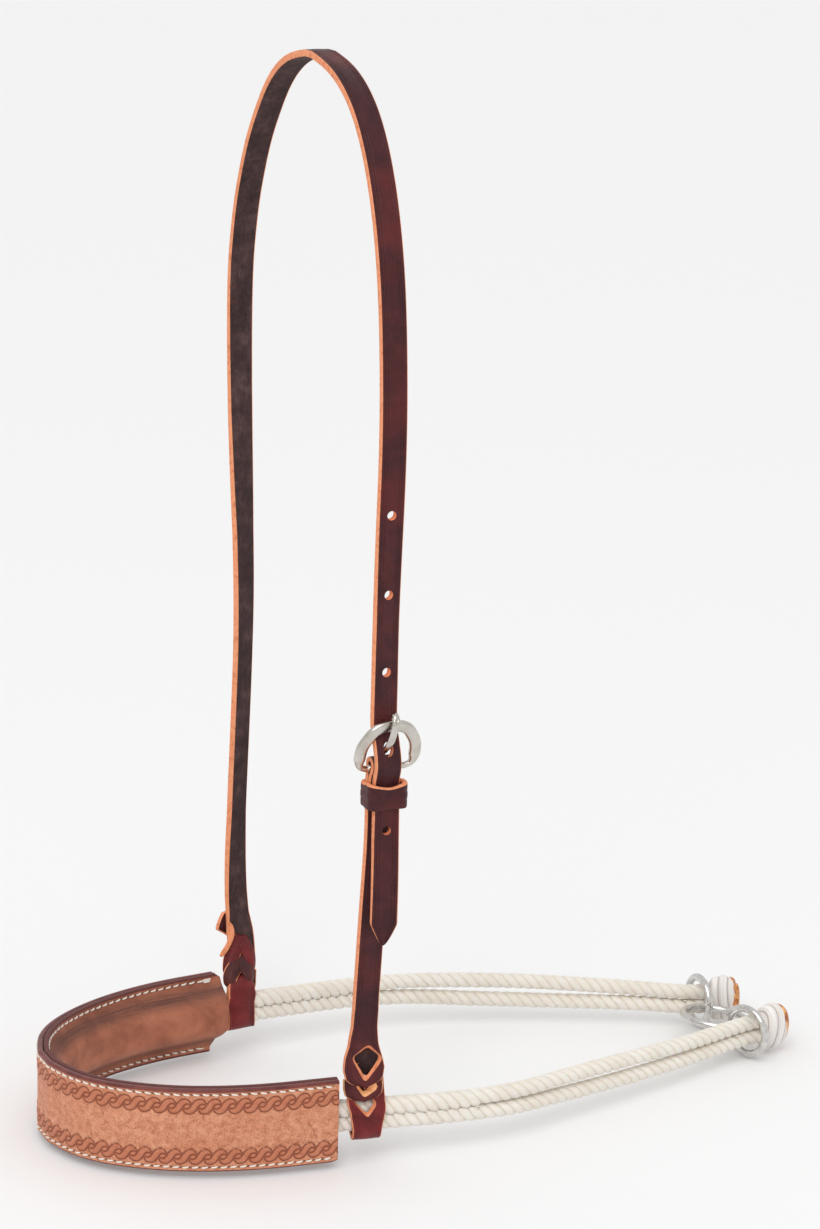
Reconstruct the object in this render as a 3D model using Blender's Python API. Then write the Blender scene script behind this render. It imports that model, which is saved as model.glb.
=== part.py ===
"""A western double-rope noseband on a single-buckle leather hanger.

The frame: the origin is under the crown strap, where it rests on the poll. +X runs from the nose
towards the jaw, +Z is up, and the near side, which carries the buckle, is at -Y. Heights in the
lists below are measured from the noseband's mid-plane, which lies DROP below the origin.
"""
import math

import bpy
import bmesh
import numpy as np
from mathutils import Matrix, Vector

# Driving dimensions, in metres
DROP = 0.4965
GAP = 0.0003
STRAP_WIDTH = 0.0127
STRAP_THICK = 0.0032
FOLD_THICK = 0.0022
BRAID_WIDTH = 0.0185
HOLE_RADIUS = 0.0023
HOLE_PITCH = 0.037
ROPE_RADIUS = 0.00397
ROPE_LOOP_Y = 0.0731
COVER_HEIGHT = 0.042
COVER_END_X = -0.0105
THREAD_RADIUS = 0.0004
SEAM_INSET = 0.0025

# Buckle, keeper and rings
BAR_Y = -0.0874
BAR_HEIGHT = 0.1810
BAR_RADIUS = 0.0014
FOLD_RADIUS = 0.0029
FRAME_LEAN = (0.0, -0.0066, 0.0215)
FRAME_HALF_WIDTH = 0.0026
FRAME_HALF_THICK = 0.0017
TONGUE_RADIUS = 0.0011
KEEPER_HEIGHTS = (0.1605, 0.1722)
RING_WIRE = 0.0020
ROPE_RING_RADIUS = 0.01225
TIE_RING_RADIUS = 0.0166

# The hanger's route, as (y, height above the noseband), from the tail's tip over the crown
NEAR_ROUTE = (
    (-0.0885, 0.0905), (-0.0898, 0.1100), (-0.0906, 0.1300), (-0.0907, 0.1420), (-0.0907, 0.1600),
    (-0.0907, 0.1670), (-0.0908, 0.1715), (-0.0917, 0.1755), (-0.0931, 0.1788), (-0.0938, 0.1820),
    (-0.0937, 0.1850), (-0.0929, 0.1890), (-0.0910, 0.1940), (-0.0890, 0.1990), (-0.0883, 0.2050),
    (-0.0883, 0.2150), (-0.0883, 0.2365), (-0.0889, 0.2650), (-0.0902, 0.2936), (-0.0915, 0.3220),
    (-0.0914, 0.3490), (-0.0897, 0.3760), (-0.0863, 0.4030), (-0.0800, 0.4290), (-0.0698, 0.4540),
    (-0.0516, 0.4785), (-0.0260, 0.4932), (-0.0040, 0.4981),
)
FAR_ROUTE = (
    (0.0040, 0.4981), (0.0260, 0.4932), (0.0480, 0.4805), (0.0625, 0.4650), (0.0740, 0.4490),
    (0.0822, 0.4330), (0.0882, 0.4180), (0.0925, 0.4020), (0.0952, 0.3870), (0.0962, 0.3720),
    (0.0959, 0.3420), (0.0943, 0.3120), (0.0917, 0.2815), (0.0888, 0.2510), (0.0868, 0.2210),
    (0.0870, 0.1890), (0.0890, 0.1570), (0.0916, 0.1240), (0.0938, 0.0900), (0.0932, 0.0600),
    (0.0900, 0.0430), (0.0866, 0.0290), (0.0840, 0.0180), (0.0803, 0.0075),
)
CHEEK_ROUTE = (
    (-0.0772, 0.0180), (-0.0757, 0.0290), (-0.0752, 0.0430), (-0.0750, 0.0550),
    (-0.0763, 0.0705), (-0.0780, 0.0860), (-0.0812, 0.1150), (-0.0838, 0.1380), (-0.0845, 0.1500),
    (-0.0845, 0.1640), (-0.0845, 0.1740),
)
FOLD_END_HEIGHT = 0.142
POLL_FLAT = 0.004

# The rope pair's middle line, as (x, y, height): the nose is an ellipse, the jaw ends differ
NOSE_CENTRE_X = -0.015
NOSE_AXES = (0.1119, 0.0694)
NOSE_ANGLES = (20.0, 40.0, 60.0, 78.0)
SIDE_ROUTE = ((-0.0120, 0.0708, 0.0), (0.0026, 0.0731, 0.0), (0.0200, 0.0752, -0.0006))
NEAR_JAW_ROUTE = (
    (0.0400, 0.0765, -0.0015), (0.0640, 0.0772, -0.0024), (0.0850, 0.0750, -0.0033),
    (0.1065, 0.0694, -0.0042), (0.1390, 0.0600, -0.0055), (0.1720, 0.0503, -0.0068),
    (0.2080, 0.0385, -0.0082), (0.2260, 0.0315, -0.0089), (0.2430, 0.0256, -0.0096),
    (0.2505, 0.0238, -0.0098),
)
FAR_JAW_ROUTE = (
    (0.0400, 0.0772, -0.0015), (0.0640, 0.0785, -0.0024), (0.0860, 0.0776, -0.0034),
    (0.1000, 0.0752, -0.0039), (0.1170, 0.0705, -0.0046), (0.1430, 0.0622, -0.0056),
    (0.1680, 0.0530, -0.0066), (0.1920, 0.0436, -0.0076), (0.2210, 0.0304, -0.0087),
    (0.2372, 0.0234, -0.0094), (0.2453, 0.0218, -0.0096),
)
ROPE_SEAM = (0.0110, 0.0620)
SLIT_SPAN = (0.0650, 0.2290)
SLIT_HALF_GAP = {"near": 0.0007, "far": 0.0012}

# Material finishes: colour, roughness, metallic
FINISHES = {
    "latigo": ((0.075, 0.022, 0.024), 0.42, 0.0),
    "roughout": ((0.62, 0.30, 0.17), 0.92, 0.0),
    "lining": ((0.42, 0.18, 0.10), 0.60, 0.0),
    "rope": ((0.86, 0.82, 0.75), 0.85, 0.0),
    "knot": ((0.80, 0.76, 0.70), 0.45, 0.0),
    "ring_steel": ((0.72, 0.71, 0.69), 0.12, 1.0),
    "buckle_steel": ((0.60, 0.58, 0.54), 0.32, 1.0),
    "thread": ((0.88, 0.84, 0.76), 0.80, 0.0),
}


def clear_scene():
    for thing in list(bpy.data.objects):
        bpy.data.objects.remove(thing, do_unlink=True)


def finish(name, slot):
    """Each piece has a material of its own, made from its finish."""
    colour, rough, metal = FINISHES[slot]
    material = bpy.data.materials.new(name + "_" + slot)
    material.use_nodes = True
    shader = material.node_tree.nodes["Principled BSDF"]
    shader.inputs["Base Color"].default_value = (*colour, 1.0)
    shader.inputs["Roughness"].default_value = rough
    shader.inputs["Metallic"].default_value = metal
    return material


def add_mesh(name, mesh_data, slot, origin=(0.0, 0.0, 0.0)):
    """Turns a bmesh in world coordinates into an object whose origin is given."""
    bmesh.ops.translate(mesh_data, verts=mesh_data.verts, vec=-Vector(origin))
    bmesh.ops.recalc_face_normals(mesh_data, faces=mesh_data.faces)
    mesh = bpy.data.meshes.new(name)
    mesh_data.to_mesh(mesh)
    mesh_data.free()
    mesh.materials.append(finish(name, slot))
    mesh.shade_smooth()
    mesh.set_sharp_from_angle(angle=math.radians(35))
    thing = bpy.data.objects.new(name, mesh)
    thing.location = origin
    bpy.context.collection.objects.link(thing)
    return thing


def smooth_route(points, step=0.001):
    """A natural cubic spline through the points, read about every step metres of chord."""
    knots = np.array(points, float)
    chord = np.concatenate([[0.0], np.cumsum(np.linalg.norm(np.diff(knots, axis=0), axis=1))])
    count = len(knots)
    gaps = np.diff(chord)
    matrix = np.eye(count)
    target = np.zeros_like(knots)
    for i in range(1, count - 1):
        matrix[i, i - 1] = gaps[i - 1]
        matrix[i, i] = 2.0 * (gaps[i - 1] + gaps[i])
        matrix[i, i + 1] = gaps[i]
        rise = (knots[i + 1] - knots[i]) / gaps[i]
        target[i] = 6.0 * (rise - (knots[i] - knots[i - 1]) / gaps[i - 1])
    bend = np.linalg.solve(matrix, target)
    places = np.linspace(0.0, chord[-1], round(chord[-1] / step) + 1)
    span = np.clip(np.searchsorted(chord, places, side="right") - 1, 0, count - 2)
    width = gaps[span][:, None]
    after = (places - chord[span])[:, None] / width
    before = 1.0 - after
    curved = (before**3 - before) * bend[span] + (after**3 - after) * bend[span + 1]
    return before * knots[span] + after * knots[span + 1] + curved * width**2 / 6.0


def thin_out(points, max_turn=9.0, max_step=0.014):
    """Keeps only the points that the curve needs: one for each small turn or long step."""
    kept = [0]
    for i in range(1, len(points) - 1):
        start = points[kept[-1]]
        if kept[-1] == i - 1:
            heading = points[i] - start
        ahead = points[i + 1] - points[i]
        cosine = np.dot(heading, ahead) / (np.linalg.norm(heading) * np.linalg.norm(ahead))
        turn = math.degrees(math.acos(max(-1.0, min(1.0, cosine))))
        if turn > max_turn or np.linalg.norm(points[i + 1] - start) > max_step:
            kept.append(i)
    kept.append(len(points) - 1)
    return points[kept]


def headings(points, closed=False):
    """Unit tangents of a polyline."""
    if closed:
        steps = np.roll(points, -1, axis=0) - np.roll(points, 1, axis=0)
    else:
        steps = np.gradient(points, axis=0)
    return steps / np.linalg.norm(steps, axis=1)[:, None]


def skin(rings, closed=False):
    """Joins rings of points into one closed body. An open run of rings gets two end caps."""
    body = bmesh.new()
    loops = [[body.verts.new(point) for point in ring] for ring in rings]
    sides = len(loops[0])
    pairs = list(zip(loops[:-1], loops[1:]))
    if closed:
        pairs.append((loops[-1], loops[0]))
    for first, second in pairs:
        for i in range(sides):
            j = (i + 1) % sides
            body.faces.new((first[i], first[j], second[j], second[i]))
    if not closed:
        body.faces.new(loops[0])
        body.faces.new(loops[-1])
    return body


def tube(name, points, radius, slot, sides=6, closed=False):
    """A round wire or thread along a route."""
    points = np.array(points, float)
    ahead = headings(points, closed)
    across = np.cross(ahead[0], (0.0, 0.0, 1.0))
    if np.linalg.norm(across) < 0.1:
        across = np.cross(ahead[0], (0.0, 1.0, 0.0))
    rings = []
    for point, heading in zip(points, ahead):
        across = across - heading * np.dot(across, heading)
        across = across / np.linalg.norm(across)
        up = np.cross(heading, across)
        turns = [2.0 * math.pi * (i + 0.5) / sides for i in range(sides)]
        rings.append([point + radius * (across * math.cos(t) + up * math.sin(t)) for t in turns])
    return add_mesh(name, skin(rings, closed), slot)


def hanger_x(height):
    """The hanger leans very slightly: its foot sits a little further back than its crown."""
    return 0.0026 * (1.0 - height / DROP)


def strap_rings(points, twist, width, thickness):
    """Rectangular sections along a strap. twist turns the width about Z, away from +X."""
    ahead = headings(points)
    rings = []
    for point, heading in zip(points, ahead):
        if abs(point[1]) < POLL_FLAT + 0.0001 and point[2] > 0.0:
            heading = np.array((0.0, 1.0, 0.0))
        angle = math.radians(twist(point))
        across = np.array((math.cos(angle), math.sin(angle), 0.0))
        across = across - heading * np.dot(across, heading)
        across = across / np.linalg.norm(across)
        half_width = across * width(point) / 2.0
        half_thick = np.cross(heading, across) * thickness(point) / 2.0
        corners = ((-1, -1), (1, -1), (1, 1), (-1, 1))
        rings.append([point + a * half_width + b * half_thick for a, b in corners])
    return rings


def in_space(route, shift=None):
    """Turns (y, height) pairs into points, with an optional sideways shift by height."""
    points = []
    for y, height in route:
        extra = shift(height) if shift else 0.0
        points.append((hanger_x(height) + extra, y, height - DROP))
    return np.array(points)


def loop_round_ropes(side):
    """The loop's route from the strap's outer side, under the ropes and up inside them."""
    middle = side * ROPE_LOOP_Y
    arc = []
    for angle in range(0, 181, 20):
        turn = math.radians(angle)
        arc.append((middle + side * 0.0062 * math.cos(turn), -0.0044 - 0.0064 * math.sin(turn)))
    return arc


def braid_width(point):
    """The strap spreads where its own end is braided through it, above the ropes."""
    height = point[2] + DROP
    marks = (0.0, 0.008, 0.015, 0.030, 0.040)
    widths = (STRAP_WIDTH, STRAP_WIDTH + 0.001, BRAID_WIDTH, BRAID_WIDTH, STRAP_WIDTH)
    return float(np.interp(height, marks, widths))


def hole_cutter(name, point, heading, across, stretch=1.0, radius=HOLE_RADIUS):
    """A round punch through a strap, which may be drawn out along the strap."""
    bpy.ops.mesh.primitive_cylinder_add(vertices=14, radius=radius, depth=0.010)
    punch = bpy.context.active_object
    punch.name = name
    through = np.cross(across, heading)
    turn = Matrix((across, heading, through)).transposed()
    punch.data.transform(Matrix.Diagonal((1.0, stretch, 1.0, 1.0)))
    punch.data.transform(turn.to_4x4())
    punch.data.transform(Matrix.Translation(point))
    punch.hide_render = True
    punch.display_type = "WIRE"
    return punch


def cut(thing, cutter):
    step = thing.modifiers.new("cut_" + cutter.name, "BOOLEAN")
    step.operation = "DIFFERENCE"
    step.solver = "EXACT"
    step.object = cutter


def crown_strap():
    """One strap: pointed tail, near leg, crown, far leg and the loop round the far ropes."""
    def tail_shift(height):
        return float(np.interp(height, (0.0905, 0.140), (0.0030, 0.0)))

    def near_twist(point):
        return float(np.interp(point[2] + DROP, (0.16, 0.20, 0.25, 0.30), (0.0, 4.0, 8.0, 0.0)))

    def far_twist(point):
        marks = (0.0, 0.030, 0.058, 0.100, 0.190, 0.250, 0.280, 0.310, 0.370)
        turns = (8.0, 8.0, 18.0, 31.0, 31.0, 25.0, 16.0, 8.0, 0.0)
        return float(np.interp(point[2] + DROP, marks, turns))

    def width(point):
        from_tip = point[2] + DROP - NEAR_ROUTE[0][1]
        if point[1] < 0.0 and from_tip < 0.014:
            return 0.001 + (STRAP_WIDTH - 0.001) * math.sqrt(max(0.0, from_tip) / 0.014)
        return braid_width(point) if point[1] > 0.0 else STRAP_WIDTH

    far_loop = loop_round_ropes(1)
    inner_end = ((0.0672, 0.0075), (0.0728, 0.0160), (0.0788, 0.0250), (0.0835, 0.0345))
    near = thin_out(smooth_route(in_space(NEAR_ROUTE, tail_shift)), max_step=0.012)
    far = thin_out(smooth_route(in_space(FAR_ROUTE + tuple(far_loop) + inner_end)), max_turn=14.0)
    rings = strap_rings(near, near_twist, width, lambda point: STRAP_THICK)
    rings += strap_rings(far, far_twist, width, lambda point: STRAP_THICK)
    strap = add_mesh("crown_strap", skin(rings), "latigo")

    dense = smooth_route(in_space(NEAR_ROUTE, tail_shift))
    ahead = headings(dense)
    for name, height, stretch in hole_places():
        i = int(np.argmin(np.abs(dense[:, 2] + DROP - height)))
        angle = math.radians(near_twist(dense[i]))
        across = np.array((math.cos(angle), math.sin(angle), 0.0))
        across = across - ahead[i] * np.dot(across, ahead[i])
        across = across / np.linalg.norm(across)
        cut(strap, hole_cutter("punch_" + name, dense[i], ahead[i], across, stretch))
    return strap


def hole_places():
    """The punched holes: one below the buckle, the one the tongue is in, and three above."""
    tongue_height = 0.1898
    places = [("below", 0.1495, 1.0), ("tongue", tongue_height, 1.4)]
    for i in range(3):
        places.append((f"above_{i}", 0.2260 + HOLE_PITCH * i, 1.0))
    return places


def bar_centre():
    return np.array((hanger_x(BAR_HEIGHT), BAR_Y, BAR_HEIGHT - DROP))


def cheek_strap():
    """The near cheek piece: a loop round the near ropes and a fold round the buckle's bar."""
    def width(point):
        return braid_width(point)

    def thickness(point):
        return STRAP_THICK

    def twist(point):
        return float(np.interp(point[2] + DROP, (0.020, 0.060), (-8.0, 0.0)))

    inner_end = [(-0.0718, 0.0340), (-0.0712, 0.0210), (-0.0688, 0.0130), (-0.0669, 0.0060)]
    loop = list(reversed(loop_round_ropes(-1)))
    lower = thin_out(smooth_route(in_space(inner_end + loop + list(CHEEK_ROUTE))), max_turn=14.0)

    fold = []
    for angle in range(0, 200, 24):
        turn = math.radians(angle)
        fold.append((BAR_Y + FOLD_RADIUS * math.cos(turn), BAR_HEIGHT + FOLD_RADIUS * math.sin(turn)))
    back_y = -0.0845 - (STRAP_THICK + FOLD_THICK) / 2.0 - GAP
    fold += [(-0.0894, 0.1780), (-0.0882, 0.1758), (back_y - 0.00015, 0.1736), (back_y, 0.1715)]
    fold += [(back_y, 0.1560), (back_y, FOLD_END_HEIGHT)]
    upper = in_space(fold)
    rings = strap_rings(lower, twist, width, thickness)
    rings += strap_rings(upper, lambda point: 0.0, width, lambda point: FOLD_THICK)
    strap = add_mesh("cheek_strap", skin(rings), "latigo")

    bpy.ops.mesh.primitive_cylinder_add(vertices=20, radius=FOLD_RADIUS + 0.0018, depth=0.0034)
    slot = bpy.context.active_object
    slot.name = "punch_tongue_slot"
    slot.data.transform(Matrix.Rotation(math.radians(90), 4, "Y"))
    slot.data.transform(Matrix.Translation(Vector(bar_centre())))
    slot.hide_render = True
    slot.display_type = "WIRE"
    cut(strap, slot)
    return strap


def keeper_loop():
    """A closed band of leather round the three layers under the buckle."""
    middle_y = -0.0877
    half_x, half_y, corner = 0.0084, 0.0067, 0.0022
    centre_line = []
    for sign_x, sign_y, start in ((1, 1, 0), (-1, 1, 90), (-1, -1, 180), (1, -1, 270)):
        for step in (0, 45, 90):
            turn = math.radians(start + step)
            centre_line.append((sign_x * (half_x - corner) + corner * math.cos(turn),
                                middle_y + sign_y * (half_y - corner) + corner * math.sin(turn)))
    half_wall = 0.0012
    low, high = KEEPER_HEIGHTS
    shift = hanger_x((low + high) / 2.0)
    ring_points = np.array(centre_line)
    count = len(ring_points)
    rings = []
    for i in range(count):
        before, after = ring_points[i - 1], ring_points[(i + 1) % count]
        along = (after - before) / np.linalg.norm(after - before)
        out = np.array((along[1], -along[0]))
        ring = []
        for side, height in ((-1, low), (1, low), (1, high), (-1, high)):
            spot = ring_points[i] + out * side * half_wall
            ring.append((spot[0] + shift, spot[1], height - DROP))
        rings.append(ring)
    middle = (shift, middle_y, (low + high) / 2.0 - DROP)
    return add_mesh("keeper_loop", skin(rings, closed=True), "latigo", middle)


def buckle_axes():
    lean = np.array(FRAME_LEAN) / np.linalg.norm(FRAME_LEAN)
    sideways = np.array((1.0, 0.0, 0.0))
    return sideways, lean, np.cross(sideways, lean)


def buckle_frame():
    """A horseshoe frame in one casting with its straight heel bar."""
    half = [(0.0, 0.0223), (0.0045, 0.0218), (0.0080, 0.0200), (0.0108, 0.0168), (0.0136, 0.0115)]
    half += [(0.0142, 0.0055), (0.0126, 0.0012), (0.0092, 0.0)]
    route = half + [(0.0070, 0.0), (-0.0070, 0.0)] + [(-x, h) for x, h in reversed(half[1:])]
    sideways, lean, facing = buckle_axes()
    centre = bar_centre()
    points = np.array([centre + sideways * x + lean * h for x, h in route])
    ahead = headings(points, closed=True)
    rings = []
    for (x, h), point, heading in zip(route, points, ahead):
        if h < 0.0001:
            heading = np.array((-1.0, 0.0, 0.0))
        blend = min(1.0, h / 0.0055)
        wide = BAR_RADIUS + (FRAME_HALF_WIDTH - BAR_RADIUS) * blend
        thick = BAR_RADIUS + (FRAME_HALF_THICK - BAR_RADIUS) * blend
        out = np.cross(heading, facing)
        ring = []
        for i in range(12):
            turn = 2.0 * math.pi * i / 12
            ring.append(point + out * wide * math.cos(turn) + facing * thick * math.sin(turn))
        rings.append(ring)
    return add_mesh("buckle_frame", skin(rings, closed=True), "buckle_steel", tuple(centre))


def buckle_tongue():
    """A wire tongue: an eye round the bar, then out through the strap and onto the top bar."""
    eye_radius = BAR_RADIUS + GAP + TONGUE_RADIUS
    route = []
    for angle in range(-215, 80, 24):
        turn = math.radians(angle)
        route.append((BAR_Y + eye_radius * math.cos(turn), BAR_HEIGHT + eye_radius * math.sin(turn)))
    route += [(-0.0886, 0.1856), (-0.0902, 0.1877), (-0.0922, 0.1896), (-0.0944, 0.1914)]
    route += [(-0.0963, 0.1940), (-0.0976, 0.1975), (-0.0983, 0.2015), (-0.0983, 0.2045)]
    centre = bar_centre()
    points = [(centre[0], y, h - DROP) for y, h in route]
    wire = tube("buckle_tongue", points, TONGUE_RADIUS, "buckle_steel", sides=10)
    wire.data.transform(Matrix.Translation(-Vector(centre)))
    wire.location = centre
    return wire


def band_route(side):
    """The rope pair's middle line on one side, from just beside the nose to the knot's face."""
    sign = -1.0 if side == "near" else 1.0
    tail = NEAR_JAW_ROUTE if side == "near" else FAR_JAW_ROUTE
    points = []
    for angle in (5.0,) + NOSE_ANGLES:
        turn = math.radians(angle)
        x = NOSE_CENTRE_X - NOSE_AXES[0] * math.cos(turn)
        points.append((x, sign * NOSE_AXES[1] * math.sin(turn), 0.0))
    points += [(x, sign * y, z) for x, y, z in SIDE_ROUTE + tail]
    return smooth_route(points)


def whole_band():
    """The middle line from the near knot round the nose to the far knot."""
    near = band_route("near")[::-1]
    far = band_route("far")
    return np.concatenate([near, far])


def slit_gap(x, side):
    low, high = SLIT_SPAN
    if x <= low or x >= high:
        return 0.0
    return SLIT_HALF_GAP[side] * math.sin(math.pi * (x - low) / (high - low)) ** 2


def rope(name, level):
    """One of the two ropes, above or below the band's middle line."""
    points = []
    for x, y, z in whole_band():
        gap = slit_gap(x, "near" if y < 0.0 else "far")
        points.append((x, y, z - DROP + level * (ROPE_RADIUS + 0.00015 + gap)))
    route = thin_out(np.array(points), max_turn=8.0, max_step=0.016)
    route[0] += (route[1] - route[0]) / np.linalg.norm(route[1] - route[0]) * 3.0 * GAP
    route[-1] += (route[-2] - route[-1]) / np.linalg.norm(route[-2] - route[-1]) * 3.0 * GAP
    return tube(name, route, ROPE_RADIUS, "rope", sides=12)


def cover_stations():
    """Stations round the nose. The two beside the middle make a flat facet square to X."""
    band = whole_band()
    covered = band[:, 0] < COVER_END_X
    start = int(np.argmax(covered & (band[:, 1] < 0.0)))
    stop = len(band) - 1 - int(np.argmax((covered & (band[:, 1] > 0.0))[::-1]))
    behind = band[:, 0] > 0.0
    near_middle = int(np.argmin(np.abs(band[:, 1] + 0.0052) + behind))
    far_middle = int(np.argmin(np.abs(band[:, 1] - 0.0052) + behind))
    picks = [round(i) for i in np.linspace(start, near_middle, 15)]
    picks += [round(i) for i in np.linspace(far_middle, stop, 15)]
    across = headings(band)
    outs = []
    for i in picks:
        out = np.cross((0.0, 0.0, 1.0), across[i])
        outs.append(out / np.linalg.norm(out))
    return band[picks], np.array(outs)


def nose_band_body(name, section, slot):
    """Sweeps a section of (outward offset, height) points round the nose."""
    spots, outs = cover_stations()
    rings = []
    for spot, out in zip(spots, outs):
        rings.append([spot + out * o + np.array((0.0, 0.0, z - DROP)) for o, z in section])
    return add_mesh(name, skin(rings), slot)


def nose_cover():
    half = COVER_HEIGHT / 2.0
    section = [(0.0046, -half), (0.0069, -half), (0.0073, -half + 0.0005), (0.0073, half - 0.0005)]
    section += [(0.0069, half), (0.0046, half)]
    return nose_band_body("nose_cover", section, "roughout")


def lining_profile():
    """The lining's rope side and head side, as (outward offset, height), from bottom to top."""
    half = COVER_HEIGHT / 2.0
    levels = [-half, -0.0170, -0.0144, -0.0118, -0.0091, -0.0065, 0.0]
    levels += [-level for level in reversed(levels[:-1])]
    rope_side = []
    for z in levels:
        share = max(0.0, min(1.0, (0.0170 - abs(z)) / 0.0105))
        rope_side.append((0.0043 - 0.0087 * share * share * (3.0 - 2.0 * share), z))
    rope_side = np.array(rope_side)
    ahead = headings(rope_side)
    head_side = rope_side + np.column_stack((-ahead[:, 1], ahead[:, 0])) * 0.0025
    head_side[0] = (rope_side[0][0] - 0.0027, -half)
    head_side[-1] = (rope_side[-1][0] - 0.0027, half)
    head_side[6] = (head_side[5][0], 0.0)
    return rope_side, head_side


def nose_lining():
    rope_side, head_side = lining_profile()
    section = [tuple(p) for p in rope_side] + [tuple(p) for p in reversed(head_side)]
    return nose_band_body("nose_lining", section, "lining")


def cover_thread(name, level, offset):
    """One visible row of the seam that joins the cover to its lining."""
    spots, outs = cover_stations()
    height = level * (COVER_HEIGHT / 2.0 - SEAM_INSET)
    points = spots + outs * offset + np.array((0.0, 0.0, height - DROP))
    trimmed = points.copy()
    trimmed[0] += (points[1] - points[0]) * 0.35
    trimmed[-1] += (points[-2] - points[-1]) * 0.35
    return tube(name, trimmed, THREAD_RADIUS, "thread", sides=6)


def rope_thread(name, side, face):
    """A seam's row in the groove between the two ropes, behind the strap's loop."""
    band = band_route(side)
    ahead = headings(band)
    sign = -1.0 if side == "near" else 1.0
    low, high = ROPE_SEAM
    points = []
    for spot, heading in zip(band, ahead):
        if low < spot[0] < high:
            out = np.array((-heading[1], heading[0], 0.0)) * sign
            points.append(spot + out * face * 0.00235 + np.array((0.0, 0.0, -DROP)))
    return tube(name, thin_out(np.array(points), 6.0, 0.010), THREAD_RADIUS, "thread", sides=6)


def ring(name, centre, normal, mean_radius):
    centre = np.array((centre[0], centre[1], centre[2] - DROP))
    normal = np.array(normal) / np.linalg.norm(normal)
    side = np.cross(normal, (0.0, 0.0, 1.0)) if abs(normal[2]) < 0.9 else np.cross(normal, (0.0, 1.0, 0.0))
    side = side / np.linalg.norm(side)
    up = np.cross(normal, side)
    rings = []
    for i in range(30):
        turn = 2.0 * math.pi * i / 30
        out = side * math.cos(turn) + up * math.sin(turn)
        loop = []
        for k in range(10):
            bend = 2.0 * math.pi * k / 10
            reach = mean_radius + RING_WIRE * math.cos(bend)
            loop.append(centre + out * reach + normal * RING_WIRE * math.sin(bend))
        rings.append(loop)
    return add_mesh(name, skin(rings, closed=True), "ring_steel", tuple(centre))


def heading_from(yaw, pitch):
    yaw, pitch = math.radians(yaw), math.radians(pitch)
    return (math.cos(yaw) * math.cos(pitch), math.sin(yaw) * math.cos(pitch), math.sin(pitch))


def knot(name, start, direction):
    """A sewn rope button: the two rope ends worked into one flattened ball."""
    profile = ((0.0085, 0.0003), (0.0110, 0.0022), (0.0124, 0.0060), (0.0122, 0.0110),
               (0.0095, 0.0155), (0.0050, 0.0180))
    start = np.array((start[0], start[1], start[2] - DROP))
    ahead = np.array(direction) / np.linalg.norm(direction)
    side = np.cross((0.0, 0.0, 1.0), ahead)
    up = np.cross(ahead, side)
    rings = []
    for reach, along in profile:
        loop = []
        for k in range(20):
            turn = 2.0 * math.pi * k / 20
            loop.append(start + ahead * along + side * reach * 0.62 * math.cos(turn)
                        + up * reach * math.sin(turn))
        rings.append(loop)
    return add_mesh(name, skin(rings), "knot")


def build():
    clear_scene()
    crown_strap()
    cheek_strap()
    keeper_loop()
    buckle_frame()
    buckle_tongue()
    rope("rope_upper", 1)
    rope("rope_lower", -1)
    nose_cover()
    nose_lining()
    thread_offsets = {"outer": 0.0073 + GAP + THREAD_RADIUS, "inner": 0.00172 - GAP - THREAD_RADIUS}
    for edge, level in (("top", 1), ("bottom", -1)):
        for face, offset in thread_offsets.items():
            cover_thread(f"cover_thread_{edge}_{face}", level, offset)
    for side in ("near", "far"):
        for face, sign in (("outer", 1), ("inner", -1)):
            rope_thread(f"rope_thread_{side}_{face}", side, sign)
    ring("near_rope_ring", (0.24287, -0.02565, -0.00959), heading_from(20.8, 1.6), ROPE_RING_RADIUS)
    ring("far_rope_ring", (0.24040, 0.02125, -0.00957), heading_from(-2.3, -1.2), ROPE_RING_RADIUS)
    tilt, roll = math.radians(7.0), math.radians(2.4)
    tie_normal = (math.sin(tilt) * math.cos(roll), math.sin(roll), math.cos(tilt) * math.cos(roll))
    ring("tie_ring", (0.23701, -0.00255, -0.00992), tie_normal, TIE_RING_RADIUS)
    knot("near_knot", (0.2505, -0.0238, -0.0098), (8.5, 0.9, 0.0))
    knot("far_knot", (0.2453, 0.0218, -0.0096), (13.1, -2.0, 0.0))


build()
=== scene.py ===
"""The looks of a western double-rope noseband on a leather hanger.

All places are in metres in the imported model's frame: +X from nose to jaw, +Z up, and the near side
with its buckle at -Y. Heights are measured from the noseband's mid-plane, DROP below the origin.
"""

import math
import random

import bpy
import numpy as np
from mathutils import Matrix, Vector


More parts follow.
